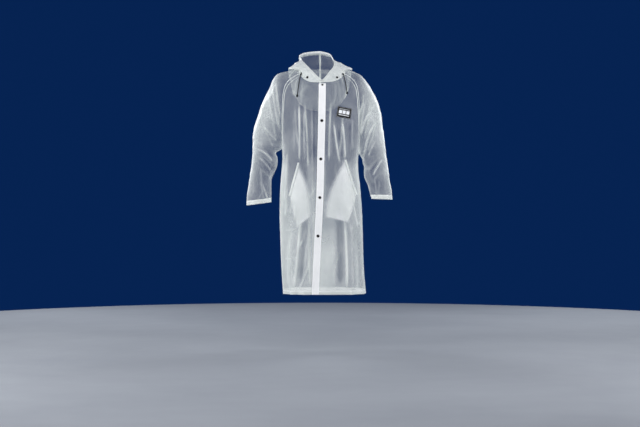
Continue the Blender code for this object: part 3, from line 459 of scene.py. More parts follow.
def over_neckline(side, turn, drop, out):
    """A point over the coat, this far below its neckline and outside it."""
    probe = 0.03
    here = round_neck(side, turn, 2)
    below = round_neck(side, turn, 2 - probe)
    up = 2 - probe * drop / np.linalg.norm(here - below)
    step = 2.0
    after = round_neck(side, min(turn + step, 180), up)
    before = round_neck(side, max(turn - step, 0), up)
    normal = unit(np.cross(after - before, here - below)) * side
    return round_neck(side, turn, up) + normal * out


def lap_clearance(turn):
    return CLOTH + HOOD_CLEARANCE + BACK_CLEARANCE * bell(turn, BACK_TURN, BACK_REACH)


def hood_overlap(turn):
    return blend(HOOD_OVERLAP_FRONT, HOOD_OVERLAP, ramp(turn, 0, 30))


def hood_stations(side, turn):
    """The places a section of the hood passes through."""
    start = over_neckline(side, turn, 0, lap_clearance(turn))
    edge = HOOD_EDGE[side](turn)
    end = np.array([edge.x, edge.y, edge.z])
    row = HOOD_SECTION(turn)
    stations = [start]
    rolled = ramp(turn, *ROLL_TURNS)
    if rolled > 0:
        away = unit(np.array([start[0], start[1], 0.0]))
        straight = blend(start, end, ROLL_SHARE)
        roll = start + away * ROLL_OUT + np.array([0, 0, ROLL_UP])
        stations.append(blend(straight, roll, rolled))
    for k in range(1, 5):
        off = np.array([side * getattr(row, f"x{k}"), getattr(row, f"y{k}"), getattr(row, f"z{k}")])
        stations.append(blend(start, end, k / 5) + off)
    return [*stations, end]


def run_lengths(line):
    """How far along a line each of its points is."""
    return np.concatenate([[0], np.cumsum(np.linalg.norm(np.diff(line, axis=0), axis=1))])


def read_at(line, far, wanted):
    """What a line's columns hold at the wanted lengths. far is the length of each row."""
    return np.stack([np.interp(wanted, far, column) for column in line.T], axis=1)


def smooth_path(stations, samples=16):
    """Points on a centripetal Catmull-Rom curve through the stations."""
    ends = [stations[0] * 2 - stations[1], *stations, stations[-1] * 2 - stations[-2]]
    points = []
    for a, b, c, d in zip(ends, ends[1:], ends[2:], ends[3:]):
        t0 = 0.0
        t1 = t0 + max(np.linalg.norm(b - a), 1e-6) ** 0.5
        t2 = t1 + max(np.linalg.norm(c - b), 1e-6) ** 0.5
        t3 = t2 + max(np.linalg.norm(d - c), 1e-6) ** 0.5
        t = (t1 + (t2 - t1) * np.arange(samples) / samples)[:, None]
        ab = blend(a, b, (t - t0) / (t1 - t0))
        bc = blend(b, c, (t - t1) / (t2 - t1))
        cd = blend(c, d, (t - t2) / (t3 - t2))
        abc = blend(ab, bc, (t - t0) / (t2 - t0))
        bcd = blend(bc, cd, (t - t1) / (t3 - t1))
        points.append(blend(abc, bcd, (t - t1) / (t2 - t1)))
    return np.vstack([*points, stations[-1][None]])


# ---- fine grids ----------------------------------------------------------------------------
LOWER_ROWS, UPPER_ROWS = 190, 120  # of a body panel, below and above the underarm
FRONT_COLUMNS, BACK_COLUMNS = 76, 128
CUFF_ROWS, CAP_ROWS = 108, 140  # of a sleeve, below and above the underarm
SLEEVE_COLUMNS = 140
HOOD_COLUMNS, HOOD_ROWS = 132, 104
# How many points of the smooth surfaces each row is read from.
PLACKET_POINTS, FRONT_POINTS, BACK_POINTS, SLEEVE_POINTS = 12, 200, 400, 300
UNDERLAP_FADE = 0.014  # the right front comes back up over this, beyond the placket
# Where the points beside a seam lie, so that its weld is a crisp line.
SEAM_PLACES = np.array([0.0, 0.0014, 0.0028, 0.0042, 0.0054, 0.0078, 0.0110])


def resampled(rows, first_places, last_places, count):
    """Each row again with its points at those distances from its ends and evenly between."""
    made = []
    for row in rows:
        far = run_lengths(row[:, :3])
        last = far[-1] - last_places[::-1]
        inner = np.linspace(first_places[-1], last[0], count - len(first_places) - len(last) + 2)
        made.append(read_at(row, far, np.concatenate([first_places, inner[1:-1], last])))
    return np.array(made)


def grid_rows(lower, upper):
    """The places of a panel's rows: so many up to the underarm (1) and so many above it."""
    return np.concatenate([np.linspace(0, 1, lower), 1 + np.linspace(0, 1, upper + 1)[1:]])


def front_points(side):
    up = grid_rows(LOWER_ROWS, UPPER_ROWS)[:, None]
    z = body_point(FRONT, 0.0, up)[..., 2]
    half = PLACKET_WIDTH / 2
    offsets = np.linspace(-half, half, PLACKET_POINTS)[None]
    shares = front_share(PLACKET(z).x + side * offsets, up)
    rest = np.linspace(0, 1, FRONT_POINTS)[None, 1:]
    shares = np.concatenate([shares, blend(shares[:, -1:], float(side), rest)], axis=1)
    points = body_point(FRONT, shares, up)
    if side == RIGHT:  # its edge lies under the left front's
        under = ramp(np.abs(points[..., 0] - PLACKET(z).x), half + UNDERLAP_FADE, half)
        points = points - grid_normals(points, RIGHT) * (under * (CLOTH + SEAM_GAP))[..., None]
    return resampled(points, np.array([0.0]), SEAM_PLACES, FRONT_COLUMNS)


def back_points():
    up = grid_rows(LOWER_ROWS, UPPER_ROWS)[:, None]
    points = body_point(BACK, np.linspace(1, -1, BACK_POINTS)[None], up)
    return resampled(points, SEAM_PLACES, SEAM_PLACES, BACK_COLUMNS)


def sleeve_points(side):
    """The points of a sleeve, with the way round it as a fourth value."""
    along = grid_rows(CUFF_ROWS, CAP_ROWS)[:, None]
    around = np.linspace(-1, 1, SLEEVE_POINTS)[None]
    points = sleeve_point(side, along, around)
    fourth = np.broadcast_to(around, points.shape[:2])[..., None]
    points = np.concatenate([points, fourth], axis=2)
    return resampled(points, SEAM_PLACES, SEAM_PLACES, SLEEVE_COLUMNS)


def hood_points(side):
    """Columns round the neck, rows from the lapped lower edge to the free edge."""
    columns = []
    for turn in np.linspace(0, 180, HOOD_COLUMNS):
        path = smooth_path(hood_stations(side, turn))
        drops = np.linspace(hood_overlap(turn), 0, LAP_ROWS + 1)[:-1]
        lap = [over_neckline(side, turn, drop, lap_clearance(turn)) for drop in drops]
        columns.append(np.vstack([lap, path]))
    columns = resampled(columns, np.array([0.0]), np.array([0.0]), HOOD_ROWS)
    return columns.transpose(1, 0, 2)


def grid_normals(points, hand):
    """A unit normal at each point of a grid. hand is 1 or -1 and says which way is out."""
    return unit(np.cross(np.gradient(points, axis=1), np.gradient(points, axis=0))) * hand


# ---- creases -------------------------------------------------------------------------------
# A crease runs over its panel's chart from (a1, b1) to (a2, b2) and swings aside by bend at its
# middle. Its height is that of a ridge, or of a trough below nothing. Its last column is painted
# light: a painted highlight along a ridge's crest, as film made denser and so whiter there, and
# below nothing painted shade across a trough, as film made clearer and so darker. On the body
# and sleeves a is x and b is z.
CREASE = "a1 b1 a2 b2 bend width1 width2 height white"
CREASE_LEGS = 8  # the straight legs that stand for its bent run
CREASE_STARTS, CREASE_ENDS = 0.24, 0.84  # it has its full height between these shares of its run
CREASE_TIP = 0.45  # how round its top is, as a share of its width
HIGHLIGHT_SHARE, HIGHLIGHT_LEAST = 0.42, 0.0017  # how wide its painted highlight line is: of its width, and at least
HIGHLIGHT_WHITE, HIGHLIGHT_GAIN = 0.72, 0.9  # how white the painted highlight is, and how much more so for a strong one
UNEVEN_HIGHLIGHT = (0.65, 1.25, 8)  # the painted highlight's least and greatest strength, and at how many places it's set


def off_crease(a, b, crease):
    """How far the points are from a crease and how far along it, from 0 to 1."""
    start, end = np.array([crease.a1, crease.b1]), np.array([crease.a2, crease.b2])
    run = end - start
    aside = np.array([-run[1], run[0]]) / np.linalg.norm(run)
    shares = np.linspace(0, 1, CREASE_LEGS + 1)
    swing = 4 * crease.bend * shares * (1 - shares)
    path = start + run * shares[:, None] + aside * swing[:, None]
    off, along = np.full(a.shape, np.inf), np.zeros(a.shape)
    for k, (p, q) in enumerate(zip(path, path[1:])):
        leg = q - p
        t = np.clip(((a - p[0]) * leg[0] + (b - p[1]) * leg[1]) / (leg @ leg), 0, 1)
        far = np.hypot(a - p[0] - leg[0] * t, b - p[1] - leg[1] * t)
        near = far < off
        off = np.where(near, far, off)
        along = np.where(near, (k + t) / CREASE_LEGS, along)
    return off, along


def creased(a, b, creases):
    """The height of the creases, and their painted light at places of the chart: highlights along
    the crests less shade across the troughs.
    """
    height, white, clear = np.zeros(a.shape), np.zeros(a.shape), np.zeros(a.shape)
    least, most, changes = UNEVEN_HIGHLIGHT
    uneven = np.random.default_rng(len(creases)).uniform(least, most, (len(creases), changes))
    for crease, strengths in zip(creases, uneven):
        off, along = off_crease(a, b, crease)
        width = blend(crease.width1, crease.width2, along)
        ends = ramp(along, 0, CREASE_STARTS) * ramp(along, 1, CREASE_ENDS)
        tip = CREASE_TIP * width
        height += crease.height * ends * np.exp(-(np.hypot(off, tip) - tip) / width)
        # Painted highlight: a whiter line along the crest, as film made denser there.
        line = ends * bell(off, 0, HIGHLIGHT_SHARE * width + HIGHLIGHT_LEAST)
        strength = np.interp(along, np.linspace(0, 1, changes), strengths)
        brightest_highlight = crease.white * (HIGHLIGHT_WHITE + HIGHLIGHT_GAIN * crease.white)
        white = np.maximum(white, brightest_highlight * strength * line)
        # Painted shade: the film made clearer, and so darker, across a trough.
        clear = np.maximum(clear, -crease.white * ends * bell(off, 0, width))
    return height, white - clear


def ripple(places, seed, spacing):
    """Smooth noise between -1 and 1 along a line, the same each time for one seed."""
    count = int(np.ptp(places) / spacing) + 4
    knots = np.random.default_rng(seed).uniform(-1, 1, count)
    t = (places - places.min()) / spacing + 1
    i = np.clip(t.astype(int), 1, count - 2)
    return blend(knots[i], knots[np.minimum(i + 1, count - 1)], ease(t - i))


FRONT_CREASES = table(
    CREASE,
    # the wearer's right
    (-0.1094, -0.160, -0.1073, -0.487, 0.003, 0.0055, 0.0050, 0.0068, 0.55),
    (-0.0793, -0.187, -0.0783, -0.473, -0.003, 0.0070, 0.0060, 0.0042, 0.25),
    (-0.0441, -0.170, -0.0389, -0.706, 0.003, 0.0060, 0.0070, 0.0038, 0.22),
    (-0.0310, -0.165, -0.0330, -0.640, -0.002, 0.0060, 0.0070, -0.0030, -0.06),
    (-0.1400, -0.235, -0.1330, -0.440, 0.004, 0.0080, 0.0070, 0.0030, 0.12),
    (-0.1680, -0.400, -0.1850, -0.700, 0.004, 0.0080, 0.0100, 0.0045, 0.20),
    (-0.1691, -0.600, -0.1815, -0.773, 0.002, 0.0040, 0.0050, 0.0034, 0.25),
    (-0.1421, -0.669, -0.1571, -0.760, 0.000, 0.0040, 0.0050, 0.0030, 0.20),
    (-0.1245, -0.700, -0.1348, -0.800, 0.000, 0.0040, 0.0040, 0.0026, 0.15),
    (-0.1060, -0.790, -0.1400, -1.158, 0.006, 0.0050, 0.0065, 0.0072, 0.55),
    (-0.0740, -0.700, -0.1060, -1.145, 0.004, 0.0280, 0.0150, -0.0085, -0.22),
    (-0.0740, -0.830, -0.1094, -0.930, 0.002, 0.0035, 0.0040, 0.0030, 0.30),
    (-0.0498, -0.985, -0.1094, -1.145, 0.003, 0.0035, 0.0045, 0.0034, 0.32),
    (-0.0570, -0.861, -0.0900, -1.121, -0.004, 0.0070, 0.0070, 0.0040, 0.18),
    (-0.0322, -0.715, -0.0430, -1.150, 0.003, 0.0060, 0.0070, 0.0050, 0.25),
    (-0.1830, -0.838, -0.1193, -0.835, 0.000, 0.0022, 0.0022, 0.0012, 0.22),
    (-0.1850, -0.987, -0.1200, -0.985, 0.000, 0.0022, 0.0022, 0.0012, 0.20),
    (-0.1600, -0.860, -0.1660, -1.150, -0.003, 0.0080, 0.0090, 0.0040, 0.12),
    # the wearer's left
    (0.0467, -0.161, 0.0570, -0.473, 0.003, 0.0060, 0.0060, 0.0030, 0.12),
    (0.0700, -0.262, 0.1040, -0.497, -0.003, 0.0060, 0.0050, 0.0066, 0.50),
    (0.1150, -0.262, 0.1280, -0.475, 0.003, 0.0050, 0.0045, 0.0066, 0.55),
    (0.0920, -0.290, 0.1170, -0.480, 0.002, 0.0070, 0.0060, -0.0042, -0.06),
    (0.1710, -0.250, 0.1680, -0.425, -0.004, 0.0070, 0.0080, 0.0040, 0.18),
    (0.1560, -0.270, 0.1560, -0.400, 0.002, 0.0060, 0.0060, -0.0028, -0.06),
    (0.1660, -0.590, 0.2000, -0.836, -0.008, 0.0060, 0.0080, 0.0046, 0.28),
    (0.1452, -0.700, 0.1660, -0.890, -0.003, 0.0060, 0.0070, 0.0036, 0.15),
    (0.1000, -0.690, 0.1050, -1.145, 0.002, 0.0240, 0.0190, -0.0085, -0.30),
    (0.1270, -0.790, 0.1400, -1.160, 0.004, 0.0045, 0.0055, 0.0070, 0.55),
    (0.1644, -0.750, 0.1711, -1.150, -0.003, 0.0080, 0.0090, 0.0045, 0.15),
    (0.1883, -0.950, 0.1950, -1.150, 0.002, 0.0060, 0.0060, 0.0036, 0.20),
    (0.1720, -1.044, 0.1980, -1.020, 0.002, 0.0035, 0.0035, 0.0020, 0.12),
    (0.0519, -0.800, 0.0350, -1.150, 0.004, 0.0150, 0.0170, 0.0050, 0.05),
    (0.0600, -0.880, 0.0700, -1.140, -0.004, 0.0110, 0.0130, 0.0030, 0.02),
    (0.0300, -0.930, 0.1000, -0.934, 0.000, 0.0022, 0.0022, 0.0009, 0.04),
    (0.0280, -1.004, 0.0960, -1.006, 0.000, 0.0022, 0.0022, 0.0009, 0.04),
)
BACK_CREASES = table(
    CREASE,
    (-0.0120, -0.090, -0.0060, -0.420, 0.004, 0.0070, 0.0080, 0.0040, 0.20),
    (0.0620, -0.120, 0.0480, -0.480, -0.004, 0.0060, 0.0060, 0.0055, 0.40),
    (-0.0840, -0.130, -0.0640, -0.520, 0.004, 0.0060, 0.0060, 0.0058, 0.42),
    (0.1220, -0.180, 0.1020, -0.440, 0.004, 0.0060, 0.0070, 0.0045, 0.28),
    (-0.1350, -0.160, -0.1150, -0.400, -0.003, 0.0060, 0.0070, 0.0045, 0.25),
    (-0.0350, -0.300, -0.0450, -0.620, 0.003, 0.0080, 0.0080, -0.0045, -0.06),
    (0.0250, -0.380, 0.0180, -0.760, 0.003, 0.0070, 0.0080, 0.0048, 0.22),
    (0.0800, -0.470, 0.1250, -0.780, -0.004, 0.0060, 0.0080, 0.0056, 0.22),
    (-0.0980, -0.560, -0.1150, -0.960, 0.004, 0.0060, 0.0070, 0.0062, 0.42),
    (-0.0580, -0.760, -0.0520, -1.158, -0.003, 0.0060, 0.0070, 0.0060, 0.38),
    (0.0450, -0.800, 0.0480, -1.155, 0.003, 0.0100, 0.0090, -0.0065, -0.06),
    (0.1300, -0.760, 0.1450, -1.155, 0.004, 0.0060, 0.0070, 0.0060, 0.35),
    (-0.1550, -0.820, -0.1650, -1.150, -0.003, 0.0060, 0.0070, 0.0050, 0.25),
    (0.0050, -0.900, -0.0120, -1.155, 0.002, 0.0060, 0.0060, 0.0040, 0.20),
    (0.1000, -0.950, 0.0640, -1.100, 0.004, 0.0035, 0.0040, 0.0032, 0.28),
    (-0.0200, -0.600, -0.0900, -0.700, 0.004, 0.0035, 0.0040, 0.0028, 0.25),
    (-0.1700, -0.700, 0.1900, -0.704, 0.000, 0.0024, 0.0024, 0.0012, 0.08),
    (-0.1700, -0.937, 0.2000, -0.934, 0.000, 0.0024, 0.0024, 0.0012, 0.06),
    (-0.1500, -0.447, 0.1700, -0.444, 0.000, 0.0024, 0.0024, 0.0010, 0.06),
)
# The creases that a sleeve shows from the front, and similar ones behind.
SLEEVE_CREASES = {
    (RIGHT, FRONT): table(
        CREASE,
        (-0.2290, -0.050, -0.2060, -0.260, -0.004, 0.0050, 0.0050, 0.0056, 0.42),
        (-0.2460, -0.073, -0.2120, -0.330, -0.006, 0.0055, 0.0055, 0.0060, 0.42),
        (-0.2680, -0.110, -0.2350, -0.300, -0.005, 0.0070, 0.0060, 0.0045, 0.20),
        (-0.2780, -0.235, -0.2200, -0.285, -0.002, 0.0045, 0.0040, 0.0042, 0.30),
        (-0.2920, -0.290, -0.2260, -0.372, -0.004, 0.0050, 0.0050, 0.0048, 0.30),
        (-0.3300, -0.408, -0.2500, -0.482, 0.008, 0.0065, 0.0055, 0.0076, 0.45),
        (-0.3020, -0.398, -0.2420, -0.458, 0.002, 0.0070, 0.0060, -0.0072, -0.06),
        (-0.3240, -0.450, -0.2580, -0.530, 0.005, 0.0065, 0.0060, 0.0066, 0.32),
        (-0.3020, -0.455, -0.2520, -0.505, 0.002, 0.0060, 0.0050, -0.0050, -0.06),
        (-0.3122, -0.510, -0.3070, -0.612, 0.003, 0.0060, 0.0060, 0.0040, 0.20),
        (-0.3080, -0.585, -0.2760, -0.676, 0.002, 0.0035, 0.0040, 0.0046, 0.40),
        (-0.3400, -0.200, -0.3420, -0.380, -0.004, 0.0070, 0.0080, 0.0040, 0.12),
        (-0.3500, -0.520, -0.3460, -0.660, 0.002, 0.0070, 0.0070, 0.0032, 0.12),
        (-0.2900, -0.620, -0.3250, -0.685, -0.002, 0.0040, 0.0040, 0.0028, 0.18),
    ),
    (LEFT, FRONT): table(
        CREASE,
        (0.2040, -0.190, 0.2080, -0.320, 0.003, 0.0045, 0.0045, 0.0046, 0.35),
        (0.2240, -0.165, 0.2150, -0.345, -0.012, 0.0045, 0.0045, 0.0066, 0.50),
        (0.2440, -0.140, 0.2160, -0.330, -0.004, 0.0050, 0.0045, 0.0050, 0.32),
        (0.2640, -0.215, 0.2190, -0.345, -0.010, 0.0050, 0.0045, 0.0076, 0.58),
        (0.2570, -0.260, 0.2260, -0.362, -0.006, 0.0055, 0.0050, -0.0070, -0.06),
        (0.2980, -0.250, 0.2300, -0.485, -0.014, 0.0055, 0.0045, 0.0076, 0.52),
        (0.2820, -0.330, 0.2380, -0.430, -0.006, 0.0065, 0.0055, -0.0068, -0.06),
        (0.2780, -0.180, 0.2520, -0.300, -0.004, 0.0060, 0.0050, 0.0040, 0.22),
        (0.2960, -0.360, 0.2530, -0.455, -0.004, 0.0055, 0.0050, 0.0050, 0.35),
        (0.3280, -0.462, 0.2780, -0.556, -0.003, 0.0045, 0.0045, 0.0066, 0.50),
        (0.3060, -0.470, 0.2680, -0.535, -0.002, 0.0070, 0.0060, -0.0055, -0.06),
        (0.2840, -0.565, 0.2950, -0.662, 0.004, 0.0060, 0.0060, 0.0038, 0.18),
        (0.3270, -0.300, 0.3300, -0.430, 0.004, 0.0070, 0.0080, 0.0038, 0.12),
        (0.3400, -0.500, 0.3420, -0.640, -0.003, 0.0070, 0.0070, 0.0034, 0.12),
        (0.2480, -0.500, 0.2740, -0.590, 0.002, 0.0050, 0.0050, 0.0030, 0.10),
    ),
    (RIGHT, BACK): table(
        CREASE,
        (-0.2360, -0.080, -0.2120, -0.320, -0.004, 0.0055, 0.0050, 0.0056, 0.36),
        (-0.2700, -0.130, -0.2350, -0.360, -0.004, 0.0060, 0.0055, 0.0052, 0.30),
        (-0.3080, -0.260, -0.2500, -0.400, -0.003, 0.0060, 0.0055, 0.0046, 0.25),
        (-0.3260, -0.425, -0.2540, -0.500, 0.006, 0.0070, 0.0060, 0.0062, 0.16),
        (-0.3150, -0.455, -0.2560, -0.520, 0.003, 0.0065, 0.0055, -0.0056, -0.06),
        (-0.3300, -0.500, -0.2640, -0.565, 0.005, 0.0065, 0.0055, 0.0054, 0.16),
        (-0.3200, -0.570, -0.3000, -0.680, 0.002, 0.0050, 0.0050, 0.0040, 0.25),
    ),
    (LEFT, BACK): table(
        CREASE,
        (0.2320, -0.090, 0.2160, -0.330, 0.004, 0.0055, 0.0050, 0.0056, 0.36),
        (0.2660, -0.120, 0.2400, -0.350, 0.004, 0.0060, 0.0055, 0.0050, 0.30),
        (0.3000, -0.240, 0.2540, -0.420, 0.004, 0.0060, 0.0055, 0.0046, 0.28),
        (0.3220, -0.440, 0.2580, -0.520, -0.005, 0.0070, 0.0060, 0.0062, 0.16),
        (0.3120, -0.475, 0.2620, -0.540, -0.003, 0.0065, 0.0055, -0.0056, -0.06),
        (0.3300, -0.520, 0.2780, -0.590, -0.004, 0.0065, 0.0055, 0.0050, 0.14),
        (0.3160, -0.570, 0.3060, -0.660, 0.002, 0.0050, 0.0050, 0.0036, 0.22),
    ),
}
# On the hood a is the way round the neck and b the way up from the lapped edge.
HOOD_CREASES = {
    RIGHT: table(
        CREASE,
        (0.035, 0.010, 0.060, 0.060, 0.003, 0.0045, 0.0040, 0.0022, 0.20),
        (0.075, 0.006, 0.090, 0.070, -0.003, 0.0050, 0.0045, 0.0030, 0.25),
        (0.105, 0.012, 0.112, 0.090, 0.004, 0.0050, 0.0050, 0.0034, 0.22),
        (0.135, 0.030, 0.180, 0.085, 0.006, 0.0060, 0.0060, 0.0040, 0.25),
        (0.150, 0.110, 0.230, 0.150, 0.004, 0.0060, 0.0060, 0.0040, 0.22),
        (0.190, 0.030, 0.240, 0.110, 0.006, 0.0070, 0.0070, 0.0045, 0.22),
        (0.250, 0.040, 0.262, 0.200, -0.006, 0.0070, 0.0080, 0.0050, 0.25),
        (0.235, 0.210, 0.275, 0.330, 0.006, 0.0070, 0.0070, 0.0045, 0.22),
        (0.290, 0.060, 0.300, 0.240, 0.004, 0.0080, 0.0080, 0.0045, 0.18),
        (0.300, 0.270, 0.325, 0.400, 0.004, 0.0070, 0.0070, 0.0040, 0.18),
    ),
    LEFT: table(
        CREASE,
        (0.040, 0.008, 0.055, 0.055, -0.003, 0.0045, 0.0040, 0.0022, 0.20),
        (0.080, 0.010, 0.082, 0.075, 0.003, 0.0050, 0.0045, 0.0030, 0.25),
        (0.110, 0.006, 0.125, 0.080, -0.004, 0.0050, 0.0050, 0.0034, 0.22),
        (0.145, 0.040, 0.190, 0.100, -0.006, 0.0060, 0.0060, 0.0042, 0.25),
        (0.170, 0.130, 0.235, 0.140, 0.004, 0.0060, 0.0060, 0.0036, 0.22),
        (0.205, 0.020, 0.235, 0.120, 0.006, 0.0070, 0.0070, 0.0045, 0.22),
        (0.245, 0.060, 0.275, 0.210, 0.006, 0.0070, 0.0080, 0.0050, 0.25),
        (0.260, 0.230, 0.262, 0.350, -0.006, 0.0070, 0.0070, 0.0045, 0.22),
        (0.300, 0.040, 0.292, 0.220, 0.004, 0.0080, 0.0080, 0.0045, 0.18),
        (0.330, 0.260, 0.310, 0.390, 0.004, 0.0070, 0.0070, 0.0040, 0.18),
    ),
}


# ---- shells --------------------------------------------------------------------------------
DENSE_LEAST = -0.20  # the least mark, of painted shade; kept as 0, as a shader reads none below


def add_mesh(name, vertices, faces, *materials):
    mesh = bpy.data.meshes.new(name)
    mesh.from_pydata(np.asarray(vertices, float).tolist(), [], faces)
    mesh.update()
    made = bpy.data.objects.new(name, mesh)
    bpy.context.scene.collection.objects.link(made)
    for material in materials:
        mesh.materials.append(material)
    mesh.shade_smooth()
    return made


def grid_faces(rows, columns, hand):
    """The quads of a grid. hand says which side is out, as in grid_normals."""
    i, j = np.meshgrid(np.arange(rows - 1), np.arange(columns - 1), indexing="ij")
    a = (i * columns + j).ravel()
    quads = np.stack([a, a + 1, a + columns + 1, a + columns], axis=1)
    return (quads if hand > 0 else quads[:, ::-1]).tolist()


def shell(name, points, hand, material, density_and_painted_shading=None, thickness=FILM):
    """A thin closed sheet over a grid of points, which are its outer side. Its marks are where the
    film is doubled or welded, and so lets less through, and its painted highlights and shade, as
    film made denser and whiter in places and clearer and darker in others."""
    rows, columns = points.shape[:2]
    made = add_mesh(name, points[..., :3].reshape(-1, 3), grid_faces(rows, columns, hand), material)
    attribute = made.data.attributes.new("density_and_painted_shading", "FLOAT", "POINT")
    marks = np.zeros(rows * columns) if density_and_painted_shading is None else np.clip(density_and_painted_shading, DENSE_LEAST, 1).ravel()
    shares = (marks - DENSE_LEAST) / (1 - DENSE_LEAST)
    attribute.data.foreach_set("value", shares.astype(np.float32))
    solid = made.modifiers.new("film", "SOLIDIFY")
    solid.thickness = thickness
    solid.offset = -1
    return made


def near_seam(distance):
    """1 on a weld this far from its edge, falling to 0 beside it."""
    return ramp(distance, WELD + 0.0008, WELD - 0.0004)


def denser(density_and_painted_shading, share, mark=1.0):
    """The marks of density with those places added where share is 1, raised to at least mark there.
    """
    return blend(density_and_painted_shading, np.maximum(density_and_painted_shading, mark), share)


def weld_bead(distance):
    """How far the pressed edge of a weld stands proud."""
    return 0.0005 * bell(distance, 0.0028, 0.0012)


def from_edges(points):
    """How far each point of a grid is from the first and the last column, along its row."""
    steps = np.linalg.norm(np.diff(points[..., :3], axis=1), axis=2)
    far = np.concatenate([np.zeros((len(points), 1)), np.cumsum(steps, axis=1)], axis=1)
    return far, far[:, -1:] - far


def from_rows(points):
    """How far each point of a grid is from the first and the last row."""
    first, last = from_edges(points.transpose(1, 0, 2))
    return first.T, last.T


class Surface:
    """The outer side of some grids, to lay smaller pieces on as they are seen from the front."""

    def __init__(self, *grids):
        vertices, faces = [], []
        for points in grids:
            rows, columns = points.shape[:2]
            faces += [[len(vertices) + k for k in f] for f in grid_faces(rows, columns, 1)]
            vertices += points.reshape(-1, 3).tolist()
        self.tree = BVHTree.FromPolygons(vertices, faces)

    def hit(self, x, z):
        return self.tree.ray_cast(Vector((x, -1, z)), Vector((0, 1, 0)))[0]

    def normal(self, x, z, reach=0.004):
        across = self.hit(x + reach, z) - self.hit(x - reach, z)
        upward = self.hit(x, z + reach) - self.hit(x, z - reach)
        return across.cross(upward).normalized()

    def at(self, x, z, out, reach=0.004):
        return self.hit(x, z) + self.normal(x, z, reach) * out


# ---- materials -----------------------------------------------------------------------------
NOISE_SPAN = (0.3, 0.7)  # nearly all of a noise's values lie in here


class Nodes:
    """A material's nodes, added one by one."""

    def __init__(self, name):
        self.material = bpy.data.materials.new(name)
        self.material.use_nodes = True
        self.tree = self.material.node_tree
        self.shader = self.tree.nodes["Principled BSDF"]
        self.place = self.add("ShaderNodeTexCoord").outputs["Object"]

    def add(self, kind, **settings):
        node = self.tree.nodes.new(kind)
        for key, value in settings.items():
            setattr(node, key, value)
        return node

    def link(self, source, target):
        self.tree.links.new(source, target)

    def set(self, **values):
        for key, value in values.items():
            self.shader.inputs[key.replace("_", " ")].default_value = value

    def feed(self, value, socket):
        self.link(value, self.shader.inputs[socket])

    def noise(self, scale, detail, roughness=0.55, output="Fac"):
        node = self.add("ShaderNodeTexNoise")
        node.inputs["Scale"].default_value = scale
        node.inputs["Detail"].default_value = detail
        node.inputs["Roughness"].default_value = roughness
        self.link(self.place, node.inputs["Vector"])
        return node.outputs[output]

    def range(self, value, low, high, to_low, to_high):
        node = self.add("ShaderNodeMapRange")
        limits = {"From Min": low, "From Max": high, "To Min": to_low, "To Max": to_high}
        for key, number in limits.items():
            node.inputs[key].default_value = number
        self.link(value, node.inputs["Value"])
        return node.outputs["Result"]

    def math(self, operation, one, two, clamp=False):
        node = self.add("ShaderNodeMath", operation=operation, use_clamp=clamp)
        for socket, value in zip(node.inputs, (one, two)):
            if isinstance(value, (int, float)):
                socket.default_value = value
            else:
                self.link(value, socket)
        return node.outputs[0]

    def colours(self, value, low, high):
        node = self.add("ShaderNodeValToRGB")
        for element, position, colour in zip(node.color_ramp.elements, NOISE_SPAN, (low, high)):
            element.position = position
            element.color = (*colour, 1)
        self.link(value, node.inputs["Fac"])
        return node.outputs["Color"]

    def bump(self, height, depth, strength=1.0, under=None):
        node = self.add("ShaderNodeBump")
        node.inputs["Strength"].default_value = strength
        node.inputs["Distance"].default_value = depth
        self.link(height, node.inputs["Height"])
        if under is not None:
            self.link(under, node.inputs["Normal"])
        return node.outputs["Normal"]


